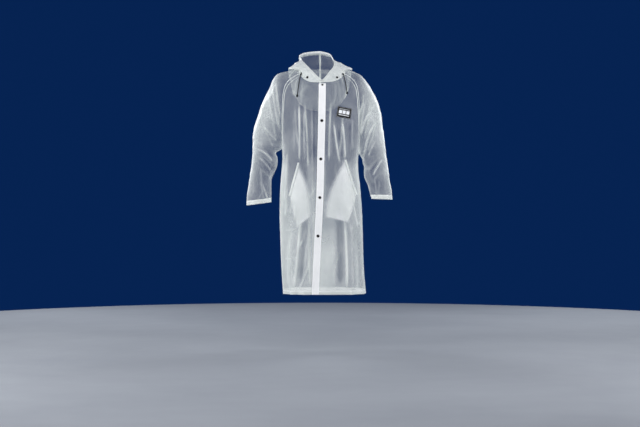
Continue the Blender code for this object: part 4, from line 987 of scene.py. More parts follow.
def film_material(name, clear, density_and_painted_shading, low, high, crinkle):
    """Frosted film. clear is its opacity on a plain place, and the next its opacity on a place
    marked in full, welded or given a painted highlight; low and high are its whites, and crinkle
    the depth of its small creases."""
    nodes = Nodes(name)
    nodes.set(Sheen_Weight=0.35, Sheen_Roughness=0.35, IOR=1.47, Specular_IOR_Level=0.6)
    cloud = nodes.noise(9, 4)
    nodes.feed(nodes.colours(cloud, low, high), "Base Color")
    nodes.feed(nodes.range(nodes.noise(34, 3), *NOISE_SPAN, 0.30, 0.46), "Roughness")
    # Small creases run along the edges of cells, whose places a noise bends a little.
    bent = nodes.add("ShaderNodeMixRGB", blend_type="ADD")
    bent.inputs["Fac"].default_value = 0.10
    nodes.link(nodes.place, bent.inputs["Color1"])
    nodes.link(nodes.noise(14, 2, 0.5, "Color"), bent.inputs["Color2"])
    ridges = nodes.add("ShaderNodeTexVoronoi", feature="DISTANCE_TO_EDGE")
    ridges.inputs["Scale"].default_value = 17
    nodes.link(bent.outputs["Color"], ridges.inputs["Vector"])
    edge = nodes.range(ridges.outputs["Distance"], 0.0, 0.16, 1.0, 0.0)
    soft = nodes.bump(nodes.noise(22, 2, 0.45), crinkle * 1.5)
    sharp = nodes.bump(edge, crinkle, 0.5, soft)
    nodes.feed(nodes.bump(nodes.noise(1400, 2), 0.00006, 0.5, sharp), "Normal")
    # The opacity, seen straight on: the film's own, a light cloudiness, a faint painted highlight
    # along the small creases, and the marks of density and of painted highlights and shade.
    shares = nodes.add("ShaderNodeAttribute", attribute_name="density_and_painted_shading").outputs["Fac"]
    marks = nodes.range(shares, 0, 1, DENSE_LEAST, 1)
    haze = nodes.range(cloud, 0.25, 0.75, -0.022, 0.022)
    # Painted highlight: the small creases' edges made a little denser, and so whiter.
    painted_crinkle_highlight = nodes.math("MULTIPLY", edge, 0.012)
    plain = nodes.math("ADD", nodes.math("ADD", haze, painted_crinkle_highlight), clear)
    marked = nodes.math("MULTIPLY", marks, density_and_painted_shading - clear)
    straight = nodes.math("ADD", plain, marked, clamp=True)
    # Film seen at a slant is crossed by a longer way, as tinted glass is, and lets less through.
    slant = nodes.add("ShaderNodeLayerWeight")
    slant.inputs["Blend"].default_value = 0.5
    facing = nodes.math("SUBTRACT", 1.0, slant.outputs["Facing"])
    longer = nodes.math("DIVIDE", 1.0, nodes.math("MAXIMUM", facing, 0.10))
    through = nodes.math("POWER", nodes.math("SUBTRACT", 1.0, straight), longer)
    nodes.feed(nodes.math("SUBTRACT", 1.0, through, clamp=True), "Alpha")
    return nodes.material


def mottled_material(name, colour, rough, reliefs, **settings):
    """An opaque material. colour is a noise's scale and detail and the two colours it mixes,
    rough the same with two roughnesses, and each relief a scale, detail, depth and strength."""
    nodes = Nodes(name)
    nodes.set(**settings)
    scale, detail, low, high = colour
    nodes.feed(nodes.colours(nodes.noise(scale, detail), low, high), "Base Color")
    scale, detail, low, high = rough
    nodes.feed(nodes.range(nodes.noise(scale, detail), *NOISE_SPAN, low, high), "Roughness")
    normal = None
    for scale, detail, depth, strength in reliefs:
        normal = nodes.bump(nodes.noise(scale, detail), depth, strength, normal)
    nodes.feed(normal, "Normal")
    return nodes.material


FILM_LOOK = film_material("film", 0.155, 0.90, (0.84, 0.88, 0.84), (0.92, 0.95, 0.91), 0.00035)
BAG_LOOK = film_material("pocket_film", 0.05, 0.52, (0.91, 0.93, 0.92), (0.96, 0.97, 0.96), 0.0006)
WHITE_LOOK = film_material(
    "white_film", 0.80, 0.98, (0.91, 0.92, 0.91), (0.96, 0.965, 0.955), 0.0005
)
PLASTIC_LOOK = mottled_material(
    "black_plastic",
    (420, 3, (0.003, 0.003, 0.0035), (0.006, 0.006, 0.007)),
    (260, 3, 0.24, 0.40),
    [(2600, 2, 0.00004, 0.4)],
    IOR=1.45,
    Specular_IOR_Level=0.04,
)
CORD_LOOK = mottled_material(
    "black_cord",
    (900, 3, (0.002, 0.002, 0.0025), (0.006, 0.006, 0.007)),
    (700, 2, 0.62, 0.85),
    [(3800, 2, 0.00010, 0.6)],
    Specular_IOR_Level=0.05,
)
PRINT_RELIEFS = [(60, 3, 0.0006, 0.5), (2200, 2, 0.00005, 0.5)]  # the film's creases, and grain
PATCH_BLACK = mottled_material(
    "patch_black",
    (300, 3, (0.003, 0.003, 0.004), (0.007, 0.007, 0.008)),
    (120, 3, 0.60, 0.74),
    PRINT_RELIEFS,
    Specular_IOR_Level=0.05,
)
PATCH_PALE = mottled_material(
    "patch_pale",
    (300, 3, (0.80, 0.82, 0.83), (0.90, 0.92, 0.93)),
    (120, 3, 0.40, 0.54),
    PRINT_RELIEFS,
    Specular_IOR_Level=0.05,
)
FLOOR_LOOK = mottled_material(
    "floor",
    (1.2, 4, (0.27, 0.29, 0.32), (0.31, 0.33, 0.36)),
    (5, 4, 0.74, 0.86),
    [(160, 4, 0.0006, 0.3)],
    Specular_IOR_Level=0.25,
)


def piece(made, slot, *nodes):
    """made belongs to the coat, under its root, and stands for those nodes, whose parts are hidden.
    slot is not used.
    """
    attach(made, "root")
    if nodes:
        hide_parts(*nodes)
    return made


# Where each piece's random numbers start from. A side is added to those of the paired pieces.
SEED = SimpleNamespace(
    front=11,
    back=21,
    sleeve=31,
    sleeve_seam=43,
    placket=61,
    hood=71,
    hood_edge=83,
    bag=91,
)
RIDGE_FALL = 2.2  # how steeply a facet falls away from its ridge
FINE_SHARE = 0.15  # of the height, from smaller facets that lie aslant
PUCKER_HEIGHT, PUCKER_SPACING = 0.0011, 0.011
PUCKER_MIDDLE, PUCKER_REACH = 0.006, 0.016  # from their seam


def lattice(a, b, seed, spacing):
    """Smooth noise between -1 and 1 over a chart, the same each time for one seed."""
    u, v = (a - a.min()) / spacing, (b - b.min()) / spacing
    knots = np.random.default_rng(seed).uniform(-1, 1, (int(u.max()) + 3, int(v.max()) + 3))
    i, k = u.astype(int), v.astype(int)
    s, t = ease(u - i), ease(v - k)
    low = blend(knots[i, k], knots[i + 1, k], s)
    return blend(low, blend(knots[i, k + 1], knots[i + 1, k + 1], s), t)


def crumple(a, b, seed, spacing, height):
    """Folded facets: the edges between them are sharp ridges, as in a film that was packed."""
    folded = 1 - np.abs(lattice(a, b, seed, spacing)) * RIDGE_FALL
    aslant = a + b * 0.3, b - a * 0.2
    fine = 1 - np.abs(lattice(*aslant, seed + 1, spacing / 2)) * RIDGE_FALL
    return height * blend(folded, fine, FINE_SHARE)


def puckers(distance, points, column, seed):
    """Short gathers beside the seam that is this column, at their highest beside its weld."""
    along = run_lengths(points[:, column, :3])[:, None]
    waves = ripple(along, seed, PUCKER_SPACING)
    swells = ripple(along, seed + 50, PUCKER_SPACING * 3)
    fade = bell(distance, PUCKER_MIDDLE, PUCKER_REACH) * ramp(distance, 0, 0.004)
    return PUCKER_HEIGHT * waves * (0.65 + 0.35 * swells) * fade


def moved_out(points, hand, height):
    place = points[..., :3]
    return place + grid_normals(place, hand) * height[..., None]


# Painted light and shade on the fronts and the back, as film made milkier than at its plainest,
# or clearer below nothing. Over the chest it is made clear, and so darker, and from the waist
# down it whitens, as light coming through from behind would make it.
CHEST_PAINTED_SHADE, HEM_PAINTED_LIGHT = -0.125, 0.05
WAIST_Z = (-0.48, -0.86)  # it starts to whiten here, and is as white as it gets from here down
# What is added in places: from none at x0 to all at x1, all until x2 and none from x3 on, and so
# with z from the top down.
PAINTED_SHADING_SPOT = "amount x0 x1 x2 x3 z0 z1 z2 z3"
ALL_LEFT, ALL_RIGHT = (9, 10), (-10, -9)  # a spot that has no end on that side
ALL_UP, ALL_DOWN = (10, 9), (-9, -10)
# Painted shade up here, as film made clearer and so darker, where the hood lies over the back
# and both are seen through the chest.
YOKE = (-0.13, -0.10, 0.10, 0.13, *ALL_UP, -0.18, -0.23)
BESIDE_PLACKET = (-0.02, 0.0, 0.045, 0.105)  # a wide plain fold
PAINTED_SHADING_SPOTS = {
    FRONT: table(
        PAINTED_SHADING_SPOT,
        (-0.025, *YOKE),
        # Painted shade makes the plain fold clearer, and so darker, at the pocket, and painted
        # light makes it whiter below it.
        (-0.06, *BESIDE_PLACKET, *WAIST_Z, -0.80, -0.86),
        (0.24, *BESIDE_PLACKET, -0.80, -1.00, *ALL_DOWN),
        # Painted light makes the right side whiter below the waist, and painted shade makes the
        # left one clearer and so darker.
        (0.055, *ALL_RIGHT, -0.12, -0.10, *WAIST_Z, *ALL_DOWN),
        (-0.10, 0.13, 0.15, *ALL_LEFT, *WAIST_Z, *ALL_DOWN),
        # Painted light whitens it sooner outside both pocket bags, and between the right one and
        # the placket.
        (0.17, 0.125, 0.155, *ALL_LEFT, -0.44, -0.54, *WAIST_Z),
        (0.17, *ALL_RIGHT, -0.180, -0.155, -0.44, -0.54, *WAIST_Z),
        (0.14, -0.075, -0.055, -0.025, -0.015, -0.44, -0.54, -0.76, -0.84),
    ),
    BACK: table(PAINTED_SHADING_SPOT, (-0.05, *YOKE)),
}


def painted_body_shading(x, z, face):
    """The painted light and shade at these places, as how much milkier the film is made."""
    haze = blend(CHEST_PAINTED_SHADE, HEM_PAINTED_LIGHT, ramp(z, *WAIST_Z))
    for spot in PAINTED_SHADING_SPOTS[face]:
        across = ramp(x, spot.x0, spot.x1) * ramp(x, spot.x3, spot.x2)
        haze = haze + spot.amount * across * ramp(z, spot.z0, spot.z1) * ramp(z, spot.z3, spot.z2)
    return haze


def body_panel(points, hand, creases, seed, seams, face):
    """A front or the back with its creases. seams are the columns (0, -1) it is sewn along."""
    x, z = points[..., 0], points[..., 2]
    height, white = creased(x, z, creases)
    # The creases' painted highlights and shade, and the painted light and shade over the body.
    density_and_painted_shading = white + painted_body_shading(x, z, face)
    # The crumples are long, and calmer toward the hem and the sides.
    calm = blend(0.4, 1, ramp(z, -0.85, -0.55)) * blend(1, 0.5, ramp(np.abs(x), 0.10, 0.15))
    height = height + crumple(x, z * 0.45, seed, 0.050, 0.0010) * calm
    edges = dict(zip((0, -1), from_edges(points)))
    to_neck = from_rows(points)[1]
    free = ramp(to_neck, 0, 0.03)
    if 0 not in seams:  # flat where the fronts lap and the placket lies
        free = free * ramp(edges[0], PLACKET_WIDTH, PLACKET_WIDTH + 0.012)
    for column in seams:
        free = free * ramp(edges[column], WELD, WELD + 0.022)
        density_and_painted_shading = denser(density_and_painted_shading, near_seam(edges[column]))
    height = height * free
    for column in seams:
        far = edges[column]
        beside = puckers(far, points, column, seed + 7 + column) + weld_bead(far)
        height = height + beside * ramp(to_neck, 0, 0.02)
    return moved_out(points, hand, height), density_and_painted_shading


SLEEVE_CLEAR = 0.135  # how much clearer a sleeve looks than plain film
SLEEVE_PAINTED_SHADING = 0.7  # how strong its creases' painted highlights and shade are, as a share of the body's


def sleeve_panel(side):
    """A sleeve with its creases. Those it shows from the front give way to those behind."""
    points = sleeve_points(side)
    x, z, around = points[..., 0], points[..., 2], points[..., 3]
    ahead = ramp(around, 0.12, -0.12)
    front_height, front_painted_shading = creased(x, z, SLEEVE_CREASES[side, FRONT])
    back_height, back_painted_shading = creased(x, z, SLEEVE_CREASES[side, BACK])
    height = blend(back_height, front_height, ahead)
    white = blend(back_painted_shading, front_painted_shading, ahead)
    height = height + crumple(around * 0.16, z, SEED.sleeve + side, 0.048, 0.0015)
    far = np.minimum(*from_edges(points))
    to_neck = from_rows(points)[1]
    height = height * ramp(far, 0.002, 0.024) * ramp(to_neck, 0, 0.03)
    height = height + puckers(far, points, 0, SEED.sleeve_seam + side) * ramp(to_neck, 0, 0.02)
    # The creases' painted highlights and shade on a clearer film, and painted sheen: the film made
    # denser, and so whiter, along its outer side, where it turns away from the front, above all up
    # to the shoulder.
    outer = ramp(side * x, 0.190, 0.285) * ramp(z, -0.45, -0.23)
    rim = bell(around, 0, 0.32) * ramp(z, -0.10, -0.20) * blend(0.5, 1, ramp(z, -0.60, -0.40))
    density_and_painted_shading = SLEEVE_PAINTED_SHADING * white - SLEEVE_CLEAR + 0.17 * outer + 0.20 * rim
    return moved_out(points, side, height), density_and_painted_shading


def mark_hem(points, density_and_painted_shading, depth):
    """The turned-in band seen through its panel, and the line where it is welded."""
    to_hem = from_rows(points)[0]
    line = ramp(np.abs(to_hem - (depth - 0.002)), 0.0030, 0.0016)
    under = ramp(to_hem, depth + 0.001, depth)
    return denser(denser(density_and_painted_shading, under, 0.5), line, 0.9)


panels = {}
for side in (LEFT, RIGHT):
    points = front_points(side)
    grid, density_and_painted_shading = body_panel(points, side, FRONT_CREASES, SEED.front + side, (-1,), FRONT)
    panels[FRONT, side] = grid, mark_hem(grid, density_and_painted_shading, HEM_DEPTH), side
    grid, density_and_painted_shading = sleeve_panel(side)
    panels["sleeve", side] = grid, mark_hem(grid, density_and_painted_shading, CUFF_DEPTH), side
grid, density_and_painted_shading = body_panel(back_points(), 1, BACK_CREASES, SEED.back, (0, -1), BACK)
panels[BACK, 0] = grid, mark_hem(grid, density_and_painted_shading, HEM_DEPTH), 1


def panel_name(key):
    return key[0] if key[0] == BACK else f"{key[0]}_{SIDE_NAME[key[1]]}"


for key, (grid, density_and_painted_shading, hand) in panels.items():
    name = panel_name(key)
    piece(shell(f"film_{name}", grid, hand, FILM_LOOK, density_and_painted_shading), "film", name)


def strip(points, distances):
    """The rows of a grid at those distances from its first row."""
    columns = points.transpose(1, 0, 2)
    made = [read_at(column, run_lengths(column), distances) for column in columns]
    return np.array(made).transpose(1, 0, 2)


def band_marks(share, weld_from, fold_to, between):
    """How dense a turned-in band is across its width, from its fold (0) to its weld (1)."""
    return np.where(share > weld_from, 1.0, np.where(share < fold_to, 0.8, between))


BAND_ROWS = (0.0, 0.0012, 0.004, 0.007, 0.010, 0.013, 0.016)  # and two more at its weld
BAND_UNDER = 0.0007  # how far it lies inside its panel's outer side


def make_band(key, depth):
    grid, _, hand = panels[key]
    if key == (FRONT, LEFT):  # none where the right front lies under its edge
        grid = grid[:, from_edges(grid)[0][0] > PLACKET_WIDTH + 0.001]
    distances = np.array([*BAND_ROWS, depth - 0.002, depth])
    rows = strip(grid, distances)
    inner = moved_out(rows, hand, np.full(rows.shape[:2], -BAND_UNDER))
    marks = band_marks(distances / depth, 0.88, 0.08, 0.25)
    density_and_painted_shading = np.broadcast_to(marks[:, None], rows.shape[:2])
    name = f"cuff_{SIDE_NAME[key[1]]}" if key[0] == "sleeve" else f"hem_{panel_name(key)}"
    piece(shell(f"band_{name}", inner, hand, WHITE_LOOK, density_and_painted_shading), "white_film", name)


for key in panels:
    make_band(key, CUFF_DEPTH if key[0] == "sleeve" else HEM_DEPTH)

PLACKET_EDGE = np.array([0.0, 0.0012, 0.0026, 0.0040, 0.0052])  # its points beside each edge
PLACKET_WELD = (0.0024, 0.0050)  # how far from each edge its weld starts and ends
PLACKET_LIFT = FILM + 0.0006  # how far it stands out over the front


def make_placket():
    """The strip up the left front's edge. Its outer side is given back."""
    grid = panels[FRONT, LEFT][0]
    grid = grid[: int(np.sum(grid[:, 0, 2] < PLACKET_TOP_Z))]
    inner = np.linspace(PLACKET_EDGE[-1], PLACKET_WIDTH - PLACKET_EDGE[-1], 9)[1:-1]
    distances = np.concatenate([PLACKET_EDGE, inner, PLACKET_WIDTH - PLACKET_EDGE[::-1]])
    place = strip(grid.transpose(1, 0, 2), distances).transpose(1, 0, 2)
    off = np.minimum(distances, PLACKET_WIDTH - distances)[None]
    along = run_lengths(place[:, 0])[:, None]
    waves = ripple(along, SEED.placket, 0.012) * 0.0004 * bell(off, 0.006, 0.006)
    outer = moved_out(place, LEFT, PLACKET_LIFT + weld_bead(off) * 0.8 + waves)
    welded = (off > PLACKET_WELD[0]) & (off < PLACKET_WELD[1])
    density_and_painted_shading = np.where(welded, 1.0, 0.35) + 0 * along
    piece(shell("placket_strip", outer, LEFT, WHITE_LOOK, density_and_painted_shading), "white_film", "placket")
    return outer


fronts = Surface(panels[FRONT, LEFT][0], panels[FRONT, RIGHT][0])
placket_surface = Surface(make_placket())


# ---- hood ----------------------------------------------------------------------------------
HOOD_LENGTH = 0.36  # how far its creases' chart runs round half the neck
CHANNEL_ROWS = np.array([0.0, 0.0010, 0.0028, 0.0055, 0.0080, 0.0105, 0.0122, 0.0140])
CHANNEL_UNDER = 0.0009  # how far the channel's band lies inside the hood's outer side
CORD_ROOM = 0.0034  # and how much further where the cord runs between them
CORD_TURNS = (92, 100)  # the cord has come all the way out to the rim here


def neck_turns(grid):
    """How many degrees round the neck each column is."""
    return np.linspace(0, 180, grid.shape[1])[None]


def hood_half(side):
    points = hood_points(side)
    to_lap, to_rim = from_rows(points)
    to_point, to_middle = from_edges(points)
    turn = neck_turns(points)
    around = np.linspace(0, HOOD_LENGTH, points.shape[1])[None] + 0 * to_lap
    height, white = creased(around, to_lap, HOOD_CREASES[side])
    behind = ramp(turn, 55, 80)
    height = height + crumple(around, to_lap, SEED.hood + side, 0.06, 0.0012) * behind
    free = ramp(to_lap, 0, 0.020) * ramp(to_rim, 0.004, 0.022)
    free = free * ramp(to_middle, 0, 0.015) * ramp(to_point, 0, 0.03)
    gathers = ripple(around[:1], SEED.hood_edge + side, 0.010) * bell(to_rim, 0.018, 0.012)
    gathers = 0.0011 * gathers * behind * ramp(to_rim, 0, 0.004) * ramp(to_middle, 0, 0.01)
    height = height * free + gathers
    # The creases' painted highlights, and the weld up the middle.
    density_and_painted_shading = denser(white, near_seam(to_middle) * ramp(to_lap, 0.012, 0.016))
    lap = ramp(np.abs(to_lap - 0.0035), 0.0030, 0.0018)
    hem = ramp(np.abs(to_rim - CHANNEL_WIDTH), 0.0026, 0.0016)
    density_and_painted_shading = denser(denser(density_and_painted_shading, lap, 0.35), hem, 0.6)
    # It is seen doubled in front, and clearer where it is laid back. Its rim is denser all round.
    density_and_painted_shading = blend(np.maximum(density_and_painted_shading, 0.42), density_and_painted_shading - 0.15, ramp(turn, 70, 100))
    density_and_painted_shading = denser(density_and_painted_shading, ramp(to_rim, 0.034, 0.016), 0.40)
    return moved_out(points, side, height), density_and_painted_shading


def make_hood(side):
    """A hood half and its channel for the cord. The half's outer side is given back."""
    name = SIDE_NAME[side]
    grid, density_and_painted_shading = hood_half(side)
    piece(shell(f"film_hood_{name}", grid, side, FILM_LOOK, density_and_painted_shading), "film", f"hood_{name}")
    rim = strip(grid[::-1], CHANNEL_ROWS)[::-1]
    share = CHANNEL_ROWS[::-1, None] / CHANNEL_WIDTH
    over_cord = bell(share, 0.5, 0.20) * ramp(neck_turns(rim), *CORD_TURNS)
    inner = moved_out(rim, side, -CHANNEL_UNDER - CORD_ROOM * over_cord)
    marks = np.broadcast_to(band_marks(share, 0.80, 0.1, 0.15), rim.shape[:2])
    made = shell(f"channel_{name}", inner, side, WHITE_LOOK, marks)
    piece(made, "white_film", f"hood_channel_{name}")
    return grid


hoods = {side: make_hood(side) for side in (LEFT, RIGHT)}
hood_surface = Surface(hoods[LEFT], hoods[RIGHT])


# ---- pockets and patch ---------------------------------------------------------------------
# Each pocket's bag inside the front, from its top to its bottom. x is away from the middle.
POCKET = {
    LEFT: Profile(
        "down inner_x inner_z outer_x outer_z",
        (0.00, 0.1230, -0.4690, 0.1322, -0.4705),
        (0.15, 0.1060, -0.5050, 0.1435, -0.5060),
        (0.30, 0.0830, -0.5480, 0.1570, -0.5480),
        (0.50, 0.0560, -0.6060, 0.1755, -0.6060),
        (0.67, 0.0400, -0.6540, 0.1905, -0.6530),
        (0.80, 0.0270, -0.7000, 0.1815, -0.7000),
        (0.92, 0.0215, -0.7440, 0.1630, -0.7600),
        (1.00, 0.0200, -0.7700, 0.1480, -0.7990),
    ),
    RIGHT: Profile(
        "down inner_x inner_z outer_x outer_z",
        (0.00, 0.1040, -0.4850, 0.1115, -0.4860),
        (0.15, 0.0950, -0.5200, 0.1215, -0.5220),
        (0.30, 0.0800, -0.5560, 0.1312, -0.5580),
        (0.50, 0.0600, -0.6120, 0.1465, -0.6140),
        (0.67, 0.0500, -0.6550, 0.1590, -0.6600),
        (0.80, 0.0460, -0.6950, 0.1520, -0.7100),
        (0.92, 0.0450, -0.7350, 0.1350, -0.7800),
        (1.00, 0.0450, -0.7650, 0.1234, -0.8300),
    ),
}
LAID_GAP = 0.0009  # under a piece laid on a folded panel


def laid(places, surface, out):
    """A grid of points this far outside the surface, over a grid of (x, z) places."""
    return np.array([[surface.at(x, z, out, 0.003) for x, z in row] for row in places])


BAG_SHARES = np.array([0, 0.012, 0.03, 0.05, *np.linspace(0.08, 0.92, 17), 0.95, 0.97, 0.988, 1])
BAG_DOWNS = np.array([*np.linspace(0, 0.965, 48), 0.975, 0.986, 0.995, 1])
BAG_PUFF = 0.0025  # it hangs this far away from the front in places
BAG_INNER_RIM = 0.45  # its inner rim looks wider than the others, so lengths count less there
WELT_END = 0.67  # how far down the bag the welt runs
WELT_ROWS = 56


def make_bag(side):
    rows = POCKET[side](BAG_DOWNS)
    x = side * blend(rows.inner_x[:, None], rows.outer_x[:, None], BAG_SHARES)
    z = blend(rows.inner_z[:, None], rows.outer_z[:, None], BAG_SHARES)
    inside = laid(np.stack([x, z], axis=2), fronts, -FILM - LAID_GAP)
    first, last = from_edges(inside)
    low = from_rows(inside)[1]
    rim = np.minimum(np.minimum(first * BAG_INNER_RIM, last), low)
    puff = ramp(rim, 0, 0.03) * (0.5 + 0.5 * lattice(x, z, SEED.bag + side, 0.04))
    inside[..., 1] += BAG_PUFF * puff
    doubled = ramp(rim, 0, 0.013)
    # Rows go down here, so the way round the grid is the other way.
    made = shell(f"pocket_bag_{SIDE_NAME[side]}", inside, -side, BAG_LOOK, doubled)
    piece(made, "film", f"pocket_{SIDE_NAME[side]}")


def make_welt(side):
    """The strip beside the pocket's slanted opening, with a lip at its edges and its middle."""
    top, end = POCKET[side](0), POCKET[side](WELT_END)
    start = np.array([side * top.outer_x, top.outer_z])
    run = np.array([side * end.outer_x, end.outer_z]) - start
    across = unit(np.array([-run[1], run[0]]))
    half = WELT_WIDTH / 2
    right_half = np.array([0.0012, half - 0.0026, half - 0.0012, half])
    offs = np.array([*-right_half[::-1], 0.0, *right_half])
    downs = np.linspace(0, 1, WELT_ROWS)[:, None, None]
    grid = laid(start + run * downs + across * offs[None, :, None], fronts, FILM + LAID_GAP)
    lip = 0.0005 * bell(np.abs(offs), half - 0.0018, 0.001) + 0.0006 * (offs == 0)
    grid = moved_out(grid, side, np.broadcast_to(lip, grid.shape[:2]))
    marks = np.where(np.abs(offs) > half - 0.0015, 0.30, 0.62)
    density_and_painted_shading = np.broadcast_to(marks, grid.shape[:2])
    hand = 1 if np.cross(np.append(across, 0), np.append(run, 0))[2] > 0 else -1
    made = shell(f"welt_{SIDE_NAME[side]}", grid, hand, FILM_LOOK, density_and_painted_shading)
    piece(made, "white_film", f"pocket_welt_{SIDE_NAME[side]}")


for side in (LEFT, RIGHT):
    make_bag(side)
    make_welt(side)


PATCH_FRAME = (0.0022, 0.0027)  # the pale frame's edges, from the patch's own edge
# Plain pale shapes printed on the patch: x and z from its middle, to x and z.
PATCH_SHAPES = (
    (-0.0275, -0.0070, -0.0110, 0.0110),
    (-0.0080, -0.0070, 0.0080, 0.0110),
    (0.0110, -0.0070, 0.0275, 0.0110),
    (-0.0270, -0.0160, 0.0270, -0.0125),
    (-0.0270, 0.0160, 0.0270, 0.0178),
)
PATCH_MARGIN, PATCH_CUTS = 0.004, 24  # the plain cuts each way that let it follow the front
PATCH_THICKNESS = 0.0007


def make_patch():
    """The patch, cut along its printed shapes, so that each face takes one colour."""
    half_x, half_z = PATCH_SIZE[0] / 2, PATCH_SIZE[1] / 2
    cuts = []
    for half, low, high in ((half_x, 0, 2), (half_z, 1, 3)):
        cut = [sign * (half - far) for sign in (-1, 1) for far in (0, *PATCH_FRAME)]
        cut += [shape[k] for shape in PATCH_SHAPES for k in (low, high)]
        cut += list(np.linspace(-half + PATCH_MARGIN, half - PATCH_MARGIN, PATCH_CUTS))
        cuts.append(np.unique(np.round(cut, 5)))
    u, v = cuts
    cos, sin = math.cos(PATCH_TILT), math.sin(PATCH_TILT)
    x = PATCH_MIDDLE[0] + u * cos - v[:, None] * sin
    z = PATCH_MIDDLE[1] + u * sin + v[:, None] * cos
    grid = laid(np.stack([x, z], axis=2), fronts, 2 * FILM + LAID_GAP)
    made = shell("patch", grid, 1, PATCH_BLACK, thickness=PATCH_THICKNESS)
    made.data.materials.append(PATCH_PALE)
    solid = made.modifiers["film"]
    solid.material_offset = solid.material_offset_rim = -1  # the shapes are on the outside alone
    middle_u, middle_v = (u[1:] + u[:-1]) / 2, (v[1:] + v[:-1]) / 2
    for polygon in made.data.polygons:
        b, a = divmod(polygon.index, len(u) - 1)
        a, b = middle_u[a], middle_v[b]
        edge = min(half_x - abs(a), half_z - abs(b))
        framed = PATCH_FRAME[0] < edge < PATCH_FRAME[1]
        shaped = any(x1 < a < x2 and z1 < b < z2 for x1, z1, x2, z2 in PATCH_SHAPES)
        polygon.material_index = 1 if framed or shaped else 0
    piece(made, "patch", "chest_patch")


make_patch()

# ---- snaps, eyelets and drawcord -----------------------------------------------------------
# Outlines of the turned pieces, as radius and height.
SNAP = (
    (0.0, 0.0021), (0.0016, 0.00212), (0.0022, 0.00245), (0.0031, 0.00268), (0.0043, 0.0026),
    (0.0054, 0.0022), (0.0061, 0.0016), (0.0066, 0.0009), (0.0070, 0.0005), (0.0070, 0.0),
    (0.0, 0.0),
)
# Each snap's name, x, z and scale.
PLACKET_SNAPS = (
    ("snap_1", 0.0125, -0.0790, 0.75),
    ("snap_2", 0.0093, -0.2682, 1.06),
    ("snap_3", 0.0041, -0.4674, 1.06),
    ("snap_4", -0.0010, -0.6675, 1.06),
    ("snap_5", -0.0104, -0.8667, 1.06),
)
HOOD_SNAPS = (
    ("hood_snap_right", -0.0659, -0.0375, 0.9),
    ("hood_snap_left", 0.0895, -0.0375, 0.9),
)
SNAP_LIFT = 0.0003  # how far its underside is over the surface
TURNED_SIDES, CORD_END_SIDES = 40, 36
EYELET = (
    (EYELET_RADIUS, 0.0003), (EYELET_RADIUS, 0.0), (EYELET_HOLE, 0.0), (EYELET_HOLE, 0.0009),
    (0.0031, 0.0012), (0.0036, 0.00135), (0.0042, 0.0013), (0.0048, 0.0009),
)
CORD_END = (
    (0.0, 0.0130), (0.0020, 0.0129), (0.0034, 0.0125), (0.0044, 0.0117), (0.0050, 0.0103),
    (0.0052, 0.0085), (0.0050, 0.0060), (0.0045, 0.0037), (0.0038, 0.0018), (0.0030, 0.0006),
    (0.0026, 0.0), (0.0, 0.0),
)
# The way each drawcord goes, from its eyelet to its end piece.
CORD_ROUTE = {
    LEFT: (
        (0.12164, -0.06238, -0.01723), (0.12202, -0.06444, -0.01537),
        (0.12393, -0.07117, -0.02384), (0.12568, -0.07702, -0.03169),
        (0.12726, -0.08203, -0.03901), (0.12876, -0.08665, -0.04619),
        (0.13020, -0.09103, -0.05332), (0.13155, -0.09519, -0.06039),
        (0.13280, -0.09917, -0.06744), (0.13401, -0.10293, -0.07446),
        (0.13515, -0.10645, -0.08143), (0.13622, -0.10983, -0.08834),
        (0.13726, -0.11309, -0.09527), (0.13825, -0.11614, -0.10218),
        (0.13919, -0.11906, -0.10899), (0.14009, -0.12197, -0.11572),
    ),
    RIGHT: (
        (-0.10011, -0.06300, -0.01770), (-0.10048, -0.06503, -0.01581),
        (-0.10233, -0.07288, -0.02531), (-0.10402, -0.07979, -0.03420),
        (-0.10552, -0.08576, -0.04259), (-0.10693, -0.09120, -0.05082),
        (-0.10828, -0.09630, -0.05901), (-0.10954, -0.10108, -0.06714),
        (-0.11074, -0.10558, -0.07523), (-0.11186, -0.10981, -0.08331),
        (-0.11289, -0.11376, -0.09134), (-0.11387, -0.11743, -0.09933),
        (-0.11484, -0.12087, -0.10729), (-0.11576, -0.12415, -0.11520),
        (-0.11668, -0.12733, -0.12316), (-0.11764, -0.13044, -0.13126),
    ),
}
# Where each eyelet lies and which way it faces.
EYELET_PLACE = {
    LEFT: ((0.12161, -0.06223, -0.01736), (0.13625, -0.73515, 0.66407)),
    RIGHT: ((-0.10008, -0.06285, -0.01784), (-0.13267, -0.72553, 0.67528)),
}


def ring_faces(rings):
    """The faces between each ring of vertices and the next. A ring may be one vertex, repeated."""
    faces = []
    for one, other in zip(rings, rings[1:]):
        for k in range(len(one)):
            n = (k + 1) % len(one)
            faces.append(list(dict.fromkeys((one[k], other[k], other[n], one[n]))))
    return faces


def lathe(name, profile, sides, middle, axis, scale=1.0):
    """A closed turned piece of plastic. An outline that starts and ends on the axis is a solid,
    any other is a ring."""
    axis = Vector(axis).normalized()
    one = axis.orthogonal().normalized()
    two = axis.cross(one)
    solid = profile[0][0] == 0
    rings, vertices = [], []
    for radius, height in profile:
        if radius == 0:
            rings.append([len(vertices)] * sides)
            vertices.append(middle + axis * height * scale)
            continue
        rings.append(list(range(len(vertices), len(vertices) + sides)))
        for k in range(sides):
            angle = 2 * math.pi * k / sides
            spoke = one * math.cos(angle) + two * math.sin(angle)
            vertices.append(middle + (spoke * radius + axis * height) * scale)
    if not solid:
        rings.append(rings[0])
    made = add_mesh(name, [tuple(v) for v in vertices], ring_faces(rings), PLASTIC_LOOK)
    turned = bmesh.new()
    turned.from_mesh(made.data)
    bmesh.ops.recalc_face_normals(turned, faces=turned.faces)
    turned.to_mesh(made.data)
    turned.free()
    made.data.set_sharp_from_angle(angle=math.radians(55))
    return made


